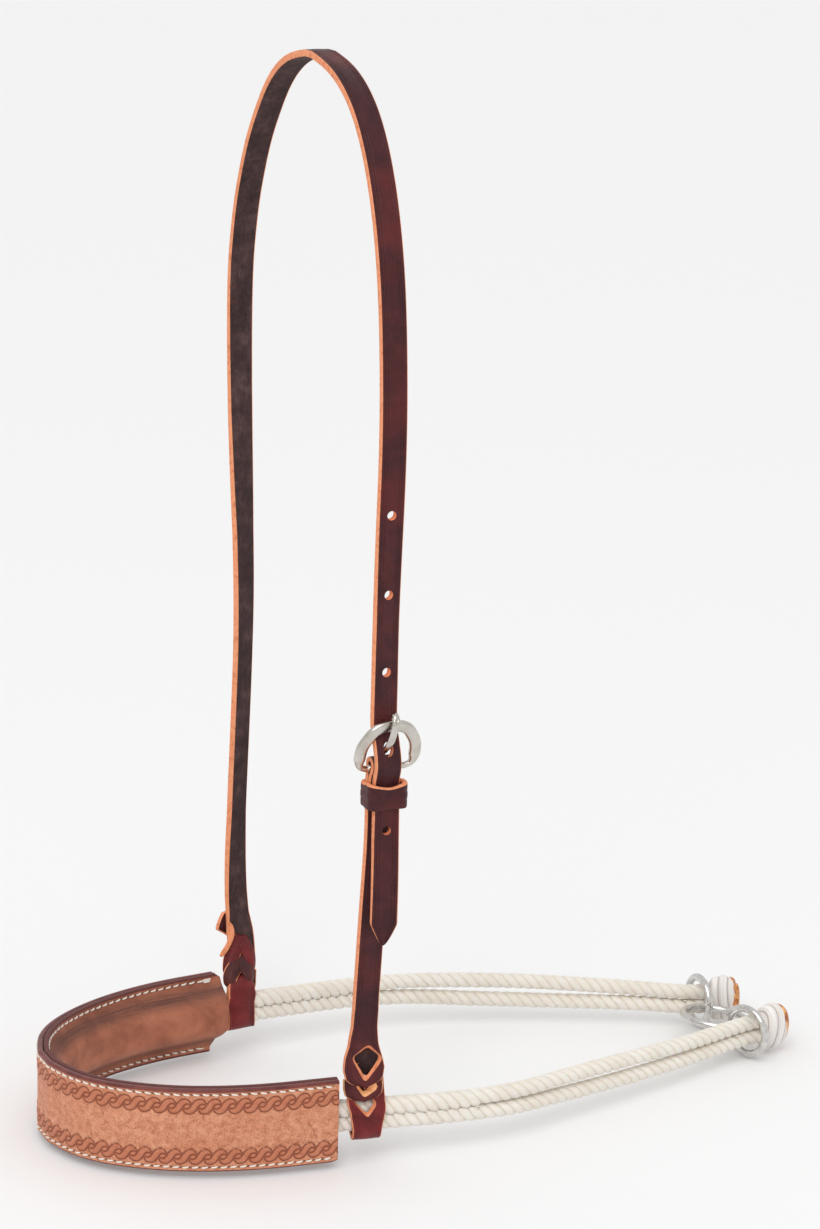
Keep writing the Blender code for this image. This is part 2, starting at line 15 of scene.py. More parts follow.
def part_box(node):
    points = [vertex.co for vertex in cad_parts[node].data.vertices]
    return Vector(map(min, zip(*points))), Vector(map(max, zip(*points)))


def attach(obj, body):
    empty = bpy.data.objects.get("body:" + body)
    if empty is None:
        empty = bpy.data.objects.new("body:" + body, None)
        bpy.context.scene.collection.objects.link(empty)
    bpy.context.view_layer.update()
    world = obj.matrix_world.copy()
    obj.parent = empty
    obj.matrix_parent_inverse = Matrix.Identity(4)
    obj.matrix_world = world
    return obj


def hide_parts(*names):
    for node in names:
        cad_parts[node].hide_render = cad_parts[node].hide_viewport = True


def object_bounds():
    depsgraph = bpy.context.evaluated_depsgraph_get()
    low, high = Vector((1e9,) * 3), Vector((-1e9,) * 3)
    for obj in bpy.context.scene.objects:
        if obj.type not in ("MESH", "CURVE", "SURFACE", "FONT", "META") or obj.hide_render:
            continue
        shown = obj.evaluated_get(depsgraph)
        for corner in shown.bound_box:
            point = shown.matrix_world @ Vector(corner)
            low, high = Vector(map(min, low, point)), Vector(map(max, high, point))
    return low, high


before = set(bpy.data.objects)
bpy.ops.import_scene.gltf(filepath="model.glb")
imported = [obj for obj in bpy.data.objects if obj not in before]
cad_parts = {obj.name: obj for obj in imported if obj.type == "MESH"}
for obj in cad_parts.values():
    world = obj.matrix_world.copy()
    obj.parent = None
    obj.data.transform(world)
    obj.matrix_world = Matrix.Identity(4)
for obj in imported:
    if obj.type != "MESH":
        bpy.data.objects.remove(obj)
CAD_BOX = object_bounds()
random.seed(7)

# Driving dimensions, kept the same as the solid model's
DROP = -(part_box("nose_cover")[0].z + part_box("nose_cover")[1].z) / 2.0
COVER_HALF = (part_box("nose_cover")[1].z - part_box("nose_cover")[0].z) / 2.0
STRAP_WIDTH = 0.0127
STRAP_THICK = 0.0032
FOLD_THICK = 0.0022
ROPE_RADIUS = 0.0040
ROPE_LAY = 0.0168
ROPE_LOOP_Y = 0.0731
BAR_Y = -0.0874
BAR_HEIGHT = 0.1810
FOLD_RADIUS = 0.0029
STITCH_PITCH = 0.0046

# The hanger's route as (y, height), from the tail's tip over the crown to the far loop
NEAR_ROUTE = (
    (-0.0886, 0.0922), (-0.0898, 0.1100), (-0.0906, 0.1300), (-0.0907, 0.1420), (-0.0907, 0.1600),
    (-0.0907, 0.1670), (-0.0908, 0.1715), (-0.0917, 0.1755), (-0.0931, 0.1788), (-0.0938, 0.1820),
    (-0.0937, 0.1850), (-0.0929, 0.1890), (-0.0910, 0.1940), (-0.0890, 0.1990), (-0.0883, 0.2050),
    (-0.0883, 0.2150), (-0.0883, 0.2365), (-0.0889, 0.2650), (-0.0902, 0.2936), (-0.0915, 0.3220),
    (-0.0914, 0.3490), (-0.0897, 0.3760), (-0.0863, 0.4030), (-0.0800, 0.4290), (-0.0698, 0.4540),
    (-0.0516, 0.4785), (-0.0260, 0.4932), (-0.0040, 0.4981),
)
FAR_ROUTE = (
    (0.0040, 0.4981), (0.0260, 0.4932), (0.0480, 0.4805), (0.0625, 0.4650), (0.0740, 0.4490),
    (0.0822, 0.4330), (0.0882, 0.4180), (0.0925, 0.4020), (0.0952, 0.3870), (0.0962, 0.3720),
    (0.0959, 0.3420), (0.0943, 0.3120), (0.0917, 0.2815), (0.0888, 0.2510), (0.0868, 0.2210),
    (0.0870, 0.1890), (0.0890, 0.1570), (0.0916, 0.1240), (0.0938, 0.0900), (0.0932, 0.0600),
    (0.0900, 0.0430), (0.0870, 0.0310),
)
CHEEK_ROUTE = (
    (-0.0750, 0.0550), (-0.0763, 0.0705), (-0.0780, 0.0860), (-0.0812, 0.1150), (-0.0838, 0.1380),
    (-0.0845, 0.1500), (-0.0845, 0.1640), (-0.0845, 0.1740),
)
FOLD_END_HEIGHT = 0.1625

# The rope pair's middle line as (x, y, height): an ellipse at the nose, then two different sides
NOSE_CENTRE_X = -0.015
NOSE_AXES = (0.1119, 0.0694)
NOSE_ANGLES = (20.0, 40.0, 60.0, 78.0)
SIDE_ROUTE = ((-0.0120, 0.0708, 0.0), (0.0026, 0.0731, 0.0), (0.0200, 0.0752, -0.0006))
NEAR_JAW_ROUTE = (
    (0.0400, 0.0765, -0.0015), (0.0640, 0.0772, -0.0024), (0.0850, 0.0750, -0.0033),
    (0.1065, 0.0694, -0.0042), (0.1390, 0.0600, -0.0055), (0.1720, 0.0503, -0.0068),
    (0.2080, 0.0385, -0.0082), (0.2260, 0.0315, -0.0089), (0.2430, 0.0256, -0.0096),
    (0.2505, 0.0238, -0.0098),
)
FAR_JAW_ROUTE = (
    (0.0400, 0.0772, -0.0015), (0.0640, 0.0785, -0.0024), (0.0860, 0.0776, -0.0034),
    (0.1000, 0.0752, -0.0039), (0.1170, 0.0705, -0.0046), (0.1430, 0.0622, -0.0056),
    (0.1680, 0.0530, -0.0066), (0.1920, 0.0436, -0.0076), (0.2210, 0.0304, -0.0087),
    (0.2372, 0.0234, -0.0094), (0.2453, 0.0218, -0.0096),
)
# Where the cover ends, where the ropes are sewn together and where they stand apart, all as x
COVER_END_X = -0.0105
ROPE_SEAM = (0.0110, 0.0620)
SLIT_SPAN = (0.0650, 0.2290)
SLIT_HALF_GAP = {"near": 0.0007, "far": 0.0012}


# ---------------------------------------------------------------- routes and swept meshes


def smooth_route(points, step=0.001):
    """A natural cubic spline through the points, read about every step metres of chord."""
    knots = np.array(points, float)
    chord = np.concatenate([[0.0], np.cumsum(np.linalg.norm(np.diff(knots, axis=0), axis=1))])
    count = len(knots)
    gaps = np.diff(chord)
    matrix = np.eye(count)
    target = np.zeros_like(knots)
    for i in range(1, count - 1):
        matrix[i, i - 1] = gaps[i - 1]
        matrix[i, i] = 2.0 * (gaps[i - 1] + gaps[i])
        matrix[i, i + 1] = gaps[i]
        rise = (knots[i + 1] - knots[i]) / gaps[i]
        target[i] = 6.0 * (rise - (knots[i] - knots[i - 1]) / gaps[i - 1])
    bend = np.linalg.solve(matrix, target)
    places = np.linspace(0.0, chord[-1], round(chord[-1] / step) + 1)
    span = np.clip(np.searchsorted(chord, places, side="right") - 1, 0, count - 2)
    width = gaps[span][:, None]
    after = (places - chord[span])[:, None] / width
    before = 1.0 - after
    curved = (before**3 - before) * bend[span] + (after**3 - after) * bend[span + 1]
    return before * knots[span] + after * knots[span + 1] + curved * width**2 / 6.0


def headings(points, closed=False):
    """The direction of a route at each of its points."""
    if closed:
        steps = np.roll(points, -1, axis=0) - np.roll(points, 1, axis=0)
    else:
        steps = np.gradient(points, axis=0)
    return steps / np.linalg.norm(steps, axis=-1)[:, None]


def lengths(points):
    """Distance along a polyline at each of its points."""
    return np.concatenate([[0.0], np.cumsum(np.linalg.norm(np.diff(points, axis=0), axis=1))])


def unit(vectors):
    """Vectors scaled to a length of one."""
    return vectors / np.linalg.norm(vectors, axis=-1, keepdims=True)


def mesh_object(name, verts, faces, materials, face_slots=None, uvs=None, marks=None):
    """An object from plain arrays. uvs hold one pair a vertex, and marks one named value a vertex."""
    mesh = bpy.data.meshes.new(name)
    mesh.from_pydata([tuple(v) for v in verts], [], faces)
    for material in materials:
        mesh.materials.append(material)
    if face_slots is not None:
        mesh.polygons.foreach_set("material_index", np.array(face_slots, np.int32))
    if uvs is not None:
        layer = mesh.uv_layers.new(name="UVMap")
        corners = np.empty(len(mesh.loops), np.int32)
        mesh.loops.foreach_get("vertex_index", corners)
        layer.data.foreach_set("uv", np.array(uvs, np.float32)[corners].ravel())
    for mark, values in (marks or {}).items():
        layer = mesh.attributes.new(mark, "FLOAT", "POINT")
        layer.data.foreach_set("value", np.array(values, np.float32).ravel())
    mesh.shade_smooth()
    mesh.update()
    thing = bpy.data.objects.new(name, mesh)
    bpy.context.scene.collection.objects.link(thing)
    return thing


def skin(stations, sides, closed=False, start=0):
    """Faces over rings of points, row by row, then the two ends where the rows aren't closed."""
    faces = []
    for i in range(stations if closed else stations - 1):
        a, b = start + i * sides, start + (i + 1) % stations * sides
        for k in range(sides):
            n = (k + 1) % sides
            faces.append((a + k, a + n, b + n, b + k))
    if not closed:
        faces.append(tuple(range(start, start + sides))[::-1])
        faces.append(tuple(range(start + (stations - 1) * sides, start + stations * sides)))
    return faces


def ring_uvs(rings, along=None):
    """UVs in metres along the stations and in turns around them."""
    if along is None:
        along = lengths(rings.mean(axis=1))
    around = np.arange(rings.shape[1]) / rings.shape[1]
    return np.stack(np.meshgrid(along, around, indexing="ij"), axis=-1).reshape(-1, 2)


def swept(name, rings, materials, slots=None, closed=False, marks=None, along=None):
    """Skins rings of points, an array of stations by sides, into one closed body.

    slots holds one material slot a side, and the ends take the second slot.
    """
    rings = np.array(rings, float)
    stations, sides = rings.shape[:2]
    faces = skin(stations, sides, closed)
    face_slots = None
    if slots:
        rows = len(faces) // sides
        face_slots = list(slots) * rows + [1] * (len(faces) - rows * sides)
    uvs = ring_uvs(rings, along)
    thing = mesh_object(name, rings.reshape(-1, 3), faces, materials, face_slots, uvs, marks)
    return face_out(thing)


def face_out(thing):
    """Turns the faces of a closed body outwards if its signed volume is negative."""
    mesh = thing.data
    mesh.calc_loop_triangles()
    corners = np.empty(len(mesh.loop_triangles) * 3, np.int32)
    mesh.loop_triangles.foreach_get("vertices", corners)
    points = np.empty(len(mesh.vertices) * 3, np.float32)
    mesh.vertices.foreach_get("co", points)
    a, b, c = points.reshape(-1, 3)[corners].astype(float).reshape(-1, 3, 3).transpose(1, 0, 2)
    if (a * np.cross(b, c)).sum() < 0.0:
        mesh.flip_normals()
    return thing


def circle(sides):
    """Angles of the sides of a round section."""
    return 2.0 * math.pi * np.arange(sides) / sides


def tube_rings(points, radii, sides=10):
    """Round sections along a route. radii is one radius or one for each point."""
    points = np.array(points, float)
    ahead = headings(points)
    radii = np.broadcast_to(radii, len(points))
    across = np.cross(ahead[0], (0.0, 0.0, 1.0))
    if np.linalg.norm(across) < 0.1:
        across = np.cross(ahead[0], (0.0, 1.0, 0.0))
    turns = circle(sides)
    rings = []
    for point, heading, radius in zip(points, ahead, radii):
        across = unit(across - heading * np.dot(across, heading))
        up = np.cross(heading, across)
        rings.append(point + radius * (np.outer(np.cos(turns), across) + np.outer(np.sin(turns), up)))
    return np.array(rings)


def merged(name, parts, materials):
    """Joins many closed swept lengths of one thread into one object."""
    verts, faces, uvs, start = [], [], [], 0
    for rings in parts:
        verts.append(rings.reshape(-1, 3))
        uvs.append(ring_uvs(rings))
        faces += skin(*rings.shape[:2], start=start)
        start += len(verts[-1])
    thing = mesh_object(name, np.concatenate(verts), faces, materials, uvs=np.concatenate(uvs))
    return face_out(thing)


# ---------------------------------------------------------------- materials


def srgb(red, green, blue):
    """A picture colour from 0 to 255 as linear light."""
    values = []
    for part in (red, green, blue):
        part = part / 255.0
        values.append(part / 12.92 if part <= 0.04045 else ((part + 0.055) / 1.055) ** 2.4)
    return (*values, 1.0)


BLACK = (0.0, 0.0, 0.0)
WHITE = (1.0, 1.0, 1.0)


class Paint:
    """A Principled material with short calls for the nodes that this scene uses."""

    def __init__(self, name, rough=0.5, metal=0.0, sheen=0.0, subsurface=0.0, specular=0.5):
        self.material = bpy.data.materials.new(name)
        self.material.use_nodes = True
        self.tree = self.material.node_tree
        self.shader = self.tree.nodes["Principled BSDF"]
        self.shader.inputs["Roughness"].default_value = rough
        self.shader.inputs["Metallic"].default_value = metal
        self.shader.inputs["Sheen Weight"].default_value = sheen
        self.shader.inputs["Specular IOR Level"].default_value = specular
        if subsurface:
            self.shader.inputs["Subsurface Weight"].default_value = subsurface
            self.shader.inputs["Subsurface Scale"].default_value = 0.002

    def node(self, kind, **values):
        made = self.tree.nodes.new(kind)
        for key, value in values.items():
            setattr(made, key, value)
        return made

    def link(self, out, into):
        self.tree.links.new(out, into)

    def feed(self, value, socket):
        """Gives a socket another node's output, or a plain value."""
        if isinstance(value, bpy.types.NodeSocket):
            self.link(value, socket)
        else:
            socket.default_value = value

    def place(self, scale=(1.0, 1.0, 1.0), space="Object"):
        """Texture coordinates stretched by scale: the frame's own metres, or the UV map."""
        coords = self.node("ShaderNodeTexCoord")
        stretch = self.node("ShaderNodeMapping")
        stretch.inputs["Scale"].default_value = scale
        self.link(coords.outputs[space], stretch.inputs["Vector"])
        return stretch.outputs["Vector"]

    def noise(self, place, scale, detail=4.0, rough=0.55, twist=0.0):
        made = self.node("ShaderNodeTexNoise")
        made.inputs["Scale"].default_value = scale
        made.inputs["Detail"].default_value = detail
        made.inputs["Roughness"].default_value = rough
        made.inputs["Distortion"].default_value = twist
        self.link(place, made.inputs["Vector"])
        return made.outputs["Fac"]

    def cells(self, place, scale):
        made = self.node("ShaderNodeTexVoronoi")
        made.inputs["Scale"].default_value = scale
        self.link(place, made.inputs["Vector"])
        return made.outputs["Distance"]

    def mark(self, name):
        made = self.node("ShaderNodeAttribute", attribute_name=name)
        return made.outputs["Fac"]

    def ramp(self, value, stops):
        made = self.node("ShaderNodeValToRGB")
        ramp = made.color_ramp
        while len(ramp.elements) < len(stops):
            ramp.elements.new(0.5)
        for element, (where, colour) in zip(ramp.elements, stops):
            element.position = where
            element.color = colour if len(colour) == 4 else (*colour, 1.0)
        self.link(value, made.inputs["Fac"])
        return made.outputs["Color"]

    def tones(self, value, stops):
        """A ramp through picture colours, each stop as (place, red, green, blue)."""
        return self.ramp(value, [(where, srgb(*tone)) for where, *tone in stops])

    def fade(self, value, low, high):
        """Black below low to white above high."""
        return self.ramp(value, ((low, BLACK), (high, WHITE)))

    def grey(self, value, low, high, from_low=0.0, from_high=1.0):
        made = self.node("ShaderNodeMapRange")
        made.inputs["From Min"].default_value = from_low
        made.inputs["From Max"].default_value = from_high
        made.inputs["To Min"].default_value = low
        made.inputs["To Max"].default_value = high
        self.link(value, made.inputs["Value"])
        return made.outputs["Result"]

    def mix(self, share, first, second, blend="MIX"):
        made = self.node("ShaderNodeMix", data_type="RGBA", blend_type=blend)
        for value, socket in ((share, 0), (first, 6), (second, 7)):
            self.feed(value, made.inputs[socket])
        return made.outputs[2]

    def maths(self, kind, first, second):
        made = self.node("ShaderNodeMath", operation=kind)
        for value, socket in zip((first, second), made.inputs):
            self.feed(value, socket)
        return made.outputs[0]

    def colour(self, value):
        self.link(value, self.shader.inputs["Base Color"])

    def roughness(self, value):
        self.link(value, self.shader.inputs["Roughness"])

    def bump(self, heights):
        """Stacks bumps given as (height value, depth in metres, strength)."""
        last = None
        for height, depth, strength in heights:
            made = self.node("ShaderNodeBump")
            made.inputs["Distance"].default_value = depth
            made.inputs["Strength"].default_value = strength
            self.link(height, made.inputs["Height"])
            if last:
                self.link(last, made.inputs["Normal"])
            last = made.outputs["Normal"]
        self.link(last, self.shader.inputs["Normal"])


def grain_leather(name="latigo_grain", reds=0.35, tones=((50, 20, 24), (68, 28, 31), (88, 36, 37))):
    """Waxed burgundy latigo: close grain, redder where it bends, with a soft shine."""
    paint = Paint(name, rough=0.5, specular=0.24)
    metres = paint.place()
    cloud = paint.noise(metres, 55.0, 5.0, 0.6, 0.6)
    base = paint.tones(cloud, [(stop, *tone) for stop, tone in zip((0.30, 0.50, 0.72), tones)])
    patch = paint.fade(paint.noise(metres, 24.0, 3.0), 0.50, 0.66)
    share = paint.maths("MULTIPLY", patch, reds)
    base = paint.mix(share, base, srgb(116, 38, 36))
    pores = paint.cells(metres, 1500.0)
    specks = paint.ramp(pores, ((0.0, (0.55, 0.55, 0.55)), (0.35, WHITE)))
    paint.colour(paint.mix(0.7, base, specks, "MULTIPLY"))
    paint.roughness(paint.grey(paint.noise(metres, 260.0), 0.34, 0.58))
    paint.bump(((pores, 0.00012, 0.5), (paint.noise(metres, 620.0, 6.0, 0.65), 0.0006, 0.6)))
    return paint.material


def flesh_leather():
    """The strap's flesh side: dull dark brown with long fibres and paler scuffs."""
    paint = Paint("latigo_flesh", rough=0.9, specular=0.25)
    metres = paint.place()
    fibres = paint.noise(paint.place((1.0, 1.0, 0.22)), 900.0, 6.0, 0.7)
    cloud = paint.noise(metres, 90.0, 5.0, 0.65)
    base = paint.tones(cloud, ((0.32, 52, 38, 39), (0.52, 72, 52, 52), (0.75, 98, 76, 74)))
    streaks = paint.ramp(fibres, ((0.30, (0.45, 0.45, 0.45)), (0.60, (1.05, 1.05, 1.05))))
    rust = paint.fade(paint.noise(metres, 140.0, 3.0), 0.66, 0.76)
    base = paint.mix(paint.maths("MULTIPLY", rust, 0.35), base, srgb(120, 60, 45))
    paint.colour(paint.mix(0.8, base, streaks, "MULTIPLY"))
    paint.bump(((fibres, 0.0003, 0.5),))
    return paint.material


def raw_edge(name="raw_edge", tone=(228, 146, 104)):
    """A cut edge: a tan core with darker patches where the dye has crept in."""
    paint = Paint(name, rough=0.75, specular=0.3)
    metres = paint.place()
    cloud = paint.noise(metres, 420.0, 5.0, 0.65)
    red, green, blue = tone
    paint.colour(paint.tones(cloud, ((0.30, red * 0.86, green * 0.78, blue * 0.74), (0.46, red, green, blue),
                                     (0.75, min(255, red * 1.05), green * 1.12, blue * 1.18))))
    paint.bump(((paint.noise(metres, 1400.0, 4.0), 0.0002, 0.4),))
    return paint.material


def roughout_leather():
    """Tan roughout: napped and mottled, pressed darker and smoother in the stamped border."""
    paint = Paint("roughout", rough=0.92, sheen=0.12, specular=0.25)
    metres = paint.place()
    nap = paint.noise(metres, 1500.0, 5.0, 0.75)
    mottle = paint.noise(metres, 330.0, 5.0, 0.7, 0.4)
    cloud = paint.noise(metres, 45.0, 3.0)
    base = paint.tones(mottle, ((0.28, 176, 108, 80), (0.48, 210, 142, 110), (0.72, 229, 168, 136)))
    base = paint.mix(paint.grey(cloud, 0.0, 0.45, 0.45, 0.75), base, srgb(198, 122, 90))
    flecks = paint.ramp(nap, ((0.34, (0.36, 0.32, 0.30)), (0.50, WHITE)))
    base = paint.mix(0.85, base, flecks, "MULTIPLY")
    pressed = paint.mark("pressed")
    base = paint.mix(paint.maths("MULTIPLY", pressed, 0.62), base, srgb(182, 104, 74))
    # The stamped grooves are darkened: partly darker pressed leather, partly painted shade in the grooves
    base = paint.mix(paint.mark("groove"), base, srgb(118, 58, 38))
    burnish = paint.mark("burnish")
    streak = paint.noise(paint.place((1.0, 1.0, 0.4)), 160.0, 4.0)
    streak = paint.tones(streak, ((0.35, 92, 42, 40), (0.65, 122, 62, 56)))
    base = paint.mix(burnish, base, streak)
    # Painted shade: the stitch holes are painted near black, as the shade inside them
    base = paint.mix(paint.mark("hole"), base, srgb(30, 14, 10))
    paint.colour(base)
    smooth = paint.maths("MAXIMUM", burnish, paint.maths("MULTIPLY", pressed, 0.6))
    paint.roughness(paint.grey(smooth, 0.95, 0.40))
    paint.bump(((nap, 0.00022, 0.7), (mottle, 0.0003, 0.35)))
    return paint.material


def lining_leather():
    """Worn russet lining: smooth, with dark rubbed streaks beside the seams and fine wrinkles."""
    paint = Paint("lining", rough=0.62, specular=0.35, sheen=0.05)
    metres = paint.place()
    cloud = paint.noise(metres, 60.0, 5.0, 0.6, 0.5)
    base = paint.tones(cloud, ((0.30, 142, 82, 58), (0.52, 174, 106, 78), (0.75, 194, 126, 96)))
    smudge = paint.noise(paint.place((30.0, 420.0, 1.0), "UV"), 1.0, 5.0, 0.7)
    smudge = paint.fade(smudge, 0.34, 0.54)
    dark = paint.maths("MULTIPLY", smudge, paint.mark("rubbed"))
    base = paint.mix(dark, base, srgb(82, 50, 44))
    spots = paint.fade(paint.noise(metres, 260.0, 4.0), 0.66, 0.78)
    base = paint.mix(paint.maths("MULTIPLY", spots, 0.5), base, srgb(128, 76, 58))
    base = paint.mix(paint.mark("burnish"), base, srgb(96, 46, 42))
    # Painted shade: the stitch holes are painted darker, as the shade inside them
    base = paint.mix(paint.mark("hole"), base, srgb(60, 34, 26))
    paint.colour(base)
    wrinkles = paint.noise(paint.place((900.0, 60.0, 1.0), "UV"), 1.0, 4.0, 0.6, 0.8)
    paint.bump(((wrinkles, 0.0006, 0.35), (paint.noise(metres, 1300.0, 4.0), 0.0002, 0.35)))
    return paint.material


def rope_cord():
    """Laid polyester rope: off-white, glossy yarns running along each strand."""
    paint = Paint("rope", rough=0.62, sheen=0.15, subsurface=0.08, specular=0.4)
    yarns = paint.noise(paint.place((110.0, 150.0, 1.0), "UV"), 1.0, 3.0, 0.6)
    metres = paint.place()
    cloud = paint.noise(metres, 70.0, 3.0)
    base = paint.tones(cloud, ((0.30, 240, 232, 219), (0.65, 248, 243, 234)))
    shade = paint.ramp(yarns, ((0.25, (0.86, 0.85, 0.83)), (0.60, WHITE)))
    base = paint.mix(0.8, base, shade, "MULTIPLY")
    # Painted shade: the valleys between the strands are painted darker
    base = paint.mix(paint.mark("valley_shade"), base, srgb(226, 215, 198))
    paint.colour(base)
    paint.bump(((yarns, 0.0006, 0.45),))
    return paint.material


def knot_cord():
    """The unlaid strands of the knot: whiter and shinier, scorched amber where they were melted."""
    paint = Paint("knot", rough=0.38, sheen=0.1, subsurface=0.06, specular=0.5)
    yarns = paint.noise(paint.place((30.0, 900.0, 1.0), "UV"), 1.0, 3.0, 0.55, 0.2)
    metres = paint.place()
    base = paint.tones(yarns, ((0.30, 212, 206, 200), (0.62, 244, 240, 235)))
    burnt = paint.tones(paint.noise(metres, 330.0, 4.0, 0.6, 0.5),
                        ((0.32, 120, 58, 26), (0.48, 196, 118, 56), (0.66, 236, 186, 120)))
    edge = paint.maths("ADD", paint.mark("scorch"), paint.grey(paint.noise(metres, 240.0), -0.45, 0.45))
    # Painted shade: the grooves between the wrapped strands are painted darker
    base = paint.mix(paint.mark("valley_shade"), base, srgb(172, 158, 150))
    paint.colour(paint.mix(paint.fade(edge, 0.40, 0.56), base, burnt))
    paint.bump(((yarns, 0.0007, 0.5), (paint.noise(metres, 500.0, 4.0), 0.0003, 0.25)))
    return paint.material


def ring_steel():
    """Bright plated round wire with faint handling marks."""
    paint = Paint("ring_steel", rough=0.14, metal=1.0)
    metres = paint.place()
    cloud = paint.noise(metres, 300.0, 4.0)
    paint.colour(paint.tones(cloud, ((0.3, 196, 193, 190), (0.7, 226, 224, 221))))
    paint.roughness(paint.grey(paint.noise(metres, 900.0, 5.0), 0.08, 0.24))
    paint.bump(((paint.noise(metres, 500.0, 3.0), 0.0001, 0.12),))
    return paint.material


def buckle_steel():
    """Cast stainless: satin, with a faint warm cloud in its tone."""
    paint = Paint("buckle_steel", rough=0.3, metal=1.0)
    metres = paint.place()
    cloud = paint.noise(metres, 160.0, 4.0, 0.5)
    paint.colour(paint.tones(cloud, ((0.30, 186, 180, 171), (0.8, 218, 213, 206))))
    paint.roughness(paint.grey(paint.noise(metres, 220.0, 3.0), 0.20, 0.28))
    paint.bump(((paint.noise(metres, 400.0, 3.0), 0.0001, 0.06),))
    return paint.material


def waxed_thread():
    """Twisted waxed thread."""
    paint = Paint("thread", rough=0.6, sheen=0.1)
    twist = paint.node("ShaderNodeTexWave", wave_type="BANDS", bands_direction="DIAGONAL")
    twist.inputs["Scale"].default_value = 1.0
    paint.link(paint.place((900.0, 3.0, 1.0), "UV"), twist.inputs["Vector"])
    paint.colour(paint.tones(twist.outputs["Fac"], ((0.2, 214, 204, 190), (0.7, 250, 246, 238))))
    paint.bump(((twist.outputs["Fac"], 0.0002, 0.3),))
    return paint.material


GRAIN = grain_leather()
LOOP_GRAIN = grain_leather("latigo_loop_grain", 0.6, ((82, 22, 25), (110, 32, 34), (136, 46, 45)))
DARK_GRAIN = grain_leather("latigo_dark_grain", 0.25, ((58, 28, 28), (80, 40, 38), (104, 54, 50)))
FLESH = flesh_leather()
EDGE = raw_edge()
SLIT_EDGE = raw_edge("slit_edge", (236, 172, 118))
ROUGHOUT = roughout_leather()
LINING = lining_leather()
ROPE = rope_cord()
KNOT = knot_cord()
RING = ring_steel()
BUCKLE = buckle_steel()
THREAD = waxed_thread()


def ready(thing, body, material_slot, *nodes):
    """Joins a piece to its body and hides the solid nodes it stands for."""
    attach(thing, body)
    if nodes:
        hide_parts(*nodes)
    return thing


# ---------------------------------------------------------------- leather straps


def hanger_x(height):
    """The hanger leans a little: it stands furthest back at its foot."""
    return 0.0026 * (1.0 - height / DROP)


def in_space(route, shift=None):
    """Turns (y, height) pairs into points, with an optional sideways shift by height."""
    points = []
    for y, height in route:
        extra = shift(height) if shift else 0.0
        points.append((hanger_x(height) + extra, y, height - DROP))
    return np.array(points)


def strap_section(width, thick, bow):
    """One section as (across, inward) pairs, and the slot of each of its sides.

    The grain side has two creases beside each edge, and bow bends the edges inward.
    """
    half = width / 2.0
    squeeze = min(1.0, half / 0.0052)
    crease = ((0.42, 0.0), (1.1, -0.03), (1.6, 0.0), (1.9, 0.24), (2.2, 0.0), (2.65, -0.03), (2.95, 0.0),
              (3.15, 0.18), (3.35, 0.0), (4.1, -0.06))
    face = thick / 2.0
    left = [(-half + inset * 0.001 * squeeze, -face + dip * 0.001) for inset, dip in crease]
    grain = left + [(0.0, -face - 0.0001)] + [(-w, t) for w, t in reversed(left)]
    rim = [(half - 0.00012 * squeeze, -face + 0.00014), (half, -face + 0.0005), (half + 0.00004, 0.0),
           (half, face - 0.0004), (half - 0.0001 * squeeze, face - 0.0001)]
    flesh = [(half * share, face) for share in (0.93, 0.6, 0.2, -0.2, -0.6, -0.93)]
    section = grain + rim + flesh + [(-w, t) for w, t in reversed(rim)]
    slots = [0] * (len(grain) - 1) + [1] * (len(rim) + 1) + [2] * (len(flesh) - 1) + [1] * (len(rim) + 1)
    return np.array([(w, t + bow * (w / half) ** 2) for w, t in section]), slots


def strap(name, points, across, widths, thick=STRAP_THICK, bows=0.0, grain=GRAIN, edge=EDGE):
    """A leather strap along points whose width lies along across. Its grain faces across x ahead."""
    points = np.array(points, float)
    count = len(points)
    ahead = headings(points)
    across = np.broadcast_to(np.array(across, float), points.shape)
    across = unit(across - ahead * (across * ahead).sum(axis=1)[:, None])
    inward = np.cross(ahead, across)
    widths, thick, bows = (np.broadcast_to(value, count) for value in (widths, thick, bows))
    rings = []
    for i in range(count):
        section, slots = strap_section(widths[i], thick[i], bows[i])
        rings.append(points[i] + section[:, :1] * across[i] + section[:, 1:] * inward[i])
    return swept(name, rings, [grain, edge, FLESH], slots)


def turned(points, heights, turns):
    """Directions across a strap, turned about Z by angles given at a list of heights."""
    angles = np.radians(np.interp(points[:, 2] + DROP, heights, turns))
    return np.stack([np.cos(angles), np.sin(angles), np.zeros(len(points))], axis=1)


def cut(thing, tools):
    """Cuts closed tools out of a strap. The cut walls take the slot of its edge."""
    for tool in tools:
        for material in thing.data.materials:
            tool.data.materials.append(material)
        tool.data.polygons.foreach_set("material_index", np.ones(len(tool.data.polygons), np.int32))
        step = thing.modifiers.new(tool.name, "BOOLEAN")
        step.operation = "DIFFERENCE"
        step.solver = "EXACT"
        step.object = tool
    bpy.context.view_layer.update()
    graph = bpy.context.evaluated_depsgraph_get()
    made = bpy.data.meshes.new_from_object(thing.evaluated_get(graph))
    made.set_sharp_from_angle(angle=math.radians(50.0))
    thing.modifiers.clear()
    thing.data = made
    for tool in tools:
        bpy.data.objects.remove(tool, do_unlink=True)


def punch(name, point, heading, across, radius, stretch=1.0, depth=0.012):
    """A round tool through a strap, which may be drawn out along the strap."""
    through = np.cross(across, heading)
    turns = circle(28)
    ring = np.outer(np.cos(turns) * radius, across) + np.outer(np.sin(turns) * radius * stretch, heading)
    return swept(name, [point + ring + through * reach for reach in (-depth / 2.0, depth / 2.0)], [])


def rounded(corners):
    """A closed outline with its corners cut round, as (across, height) pairs."""
    corners = np.array(corners, float)
    share = 0.22
    outline = []
    for i in range(len(corners)):
        before, here, after = corners[i - 1], corners[i], corners[(i + 1) % len(corners)]
        start = here + (before - here) * share
        end = here + (after - here) * share
        for t in np.linspace(0.0, 1.0, 5):
            outline.append((1 - t) ** 2 * start + 2 * t * (1 - t) * here + t * t * end)
    return np.array(outline)


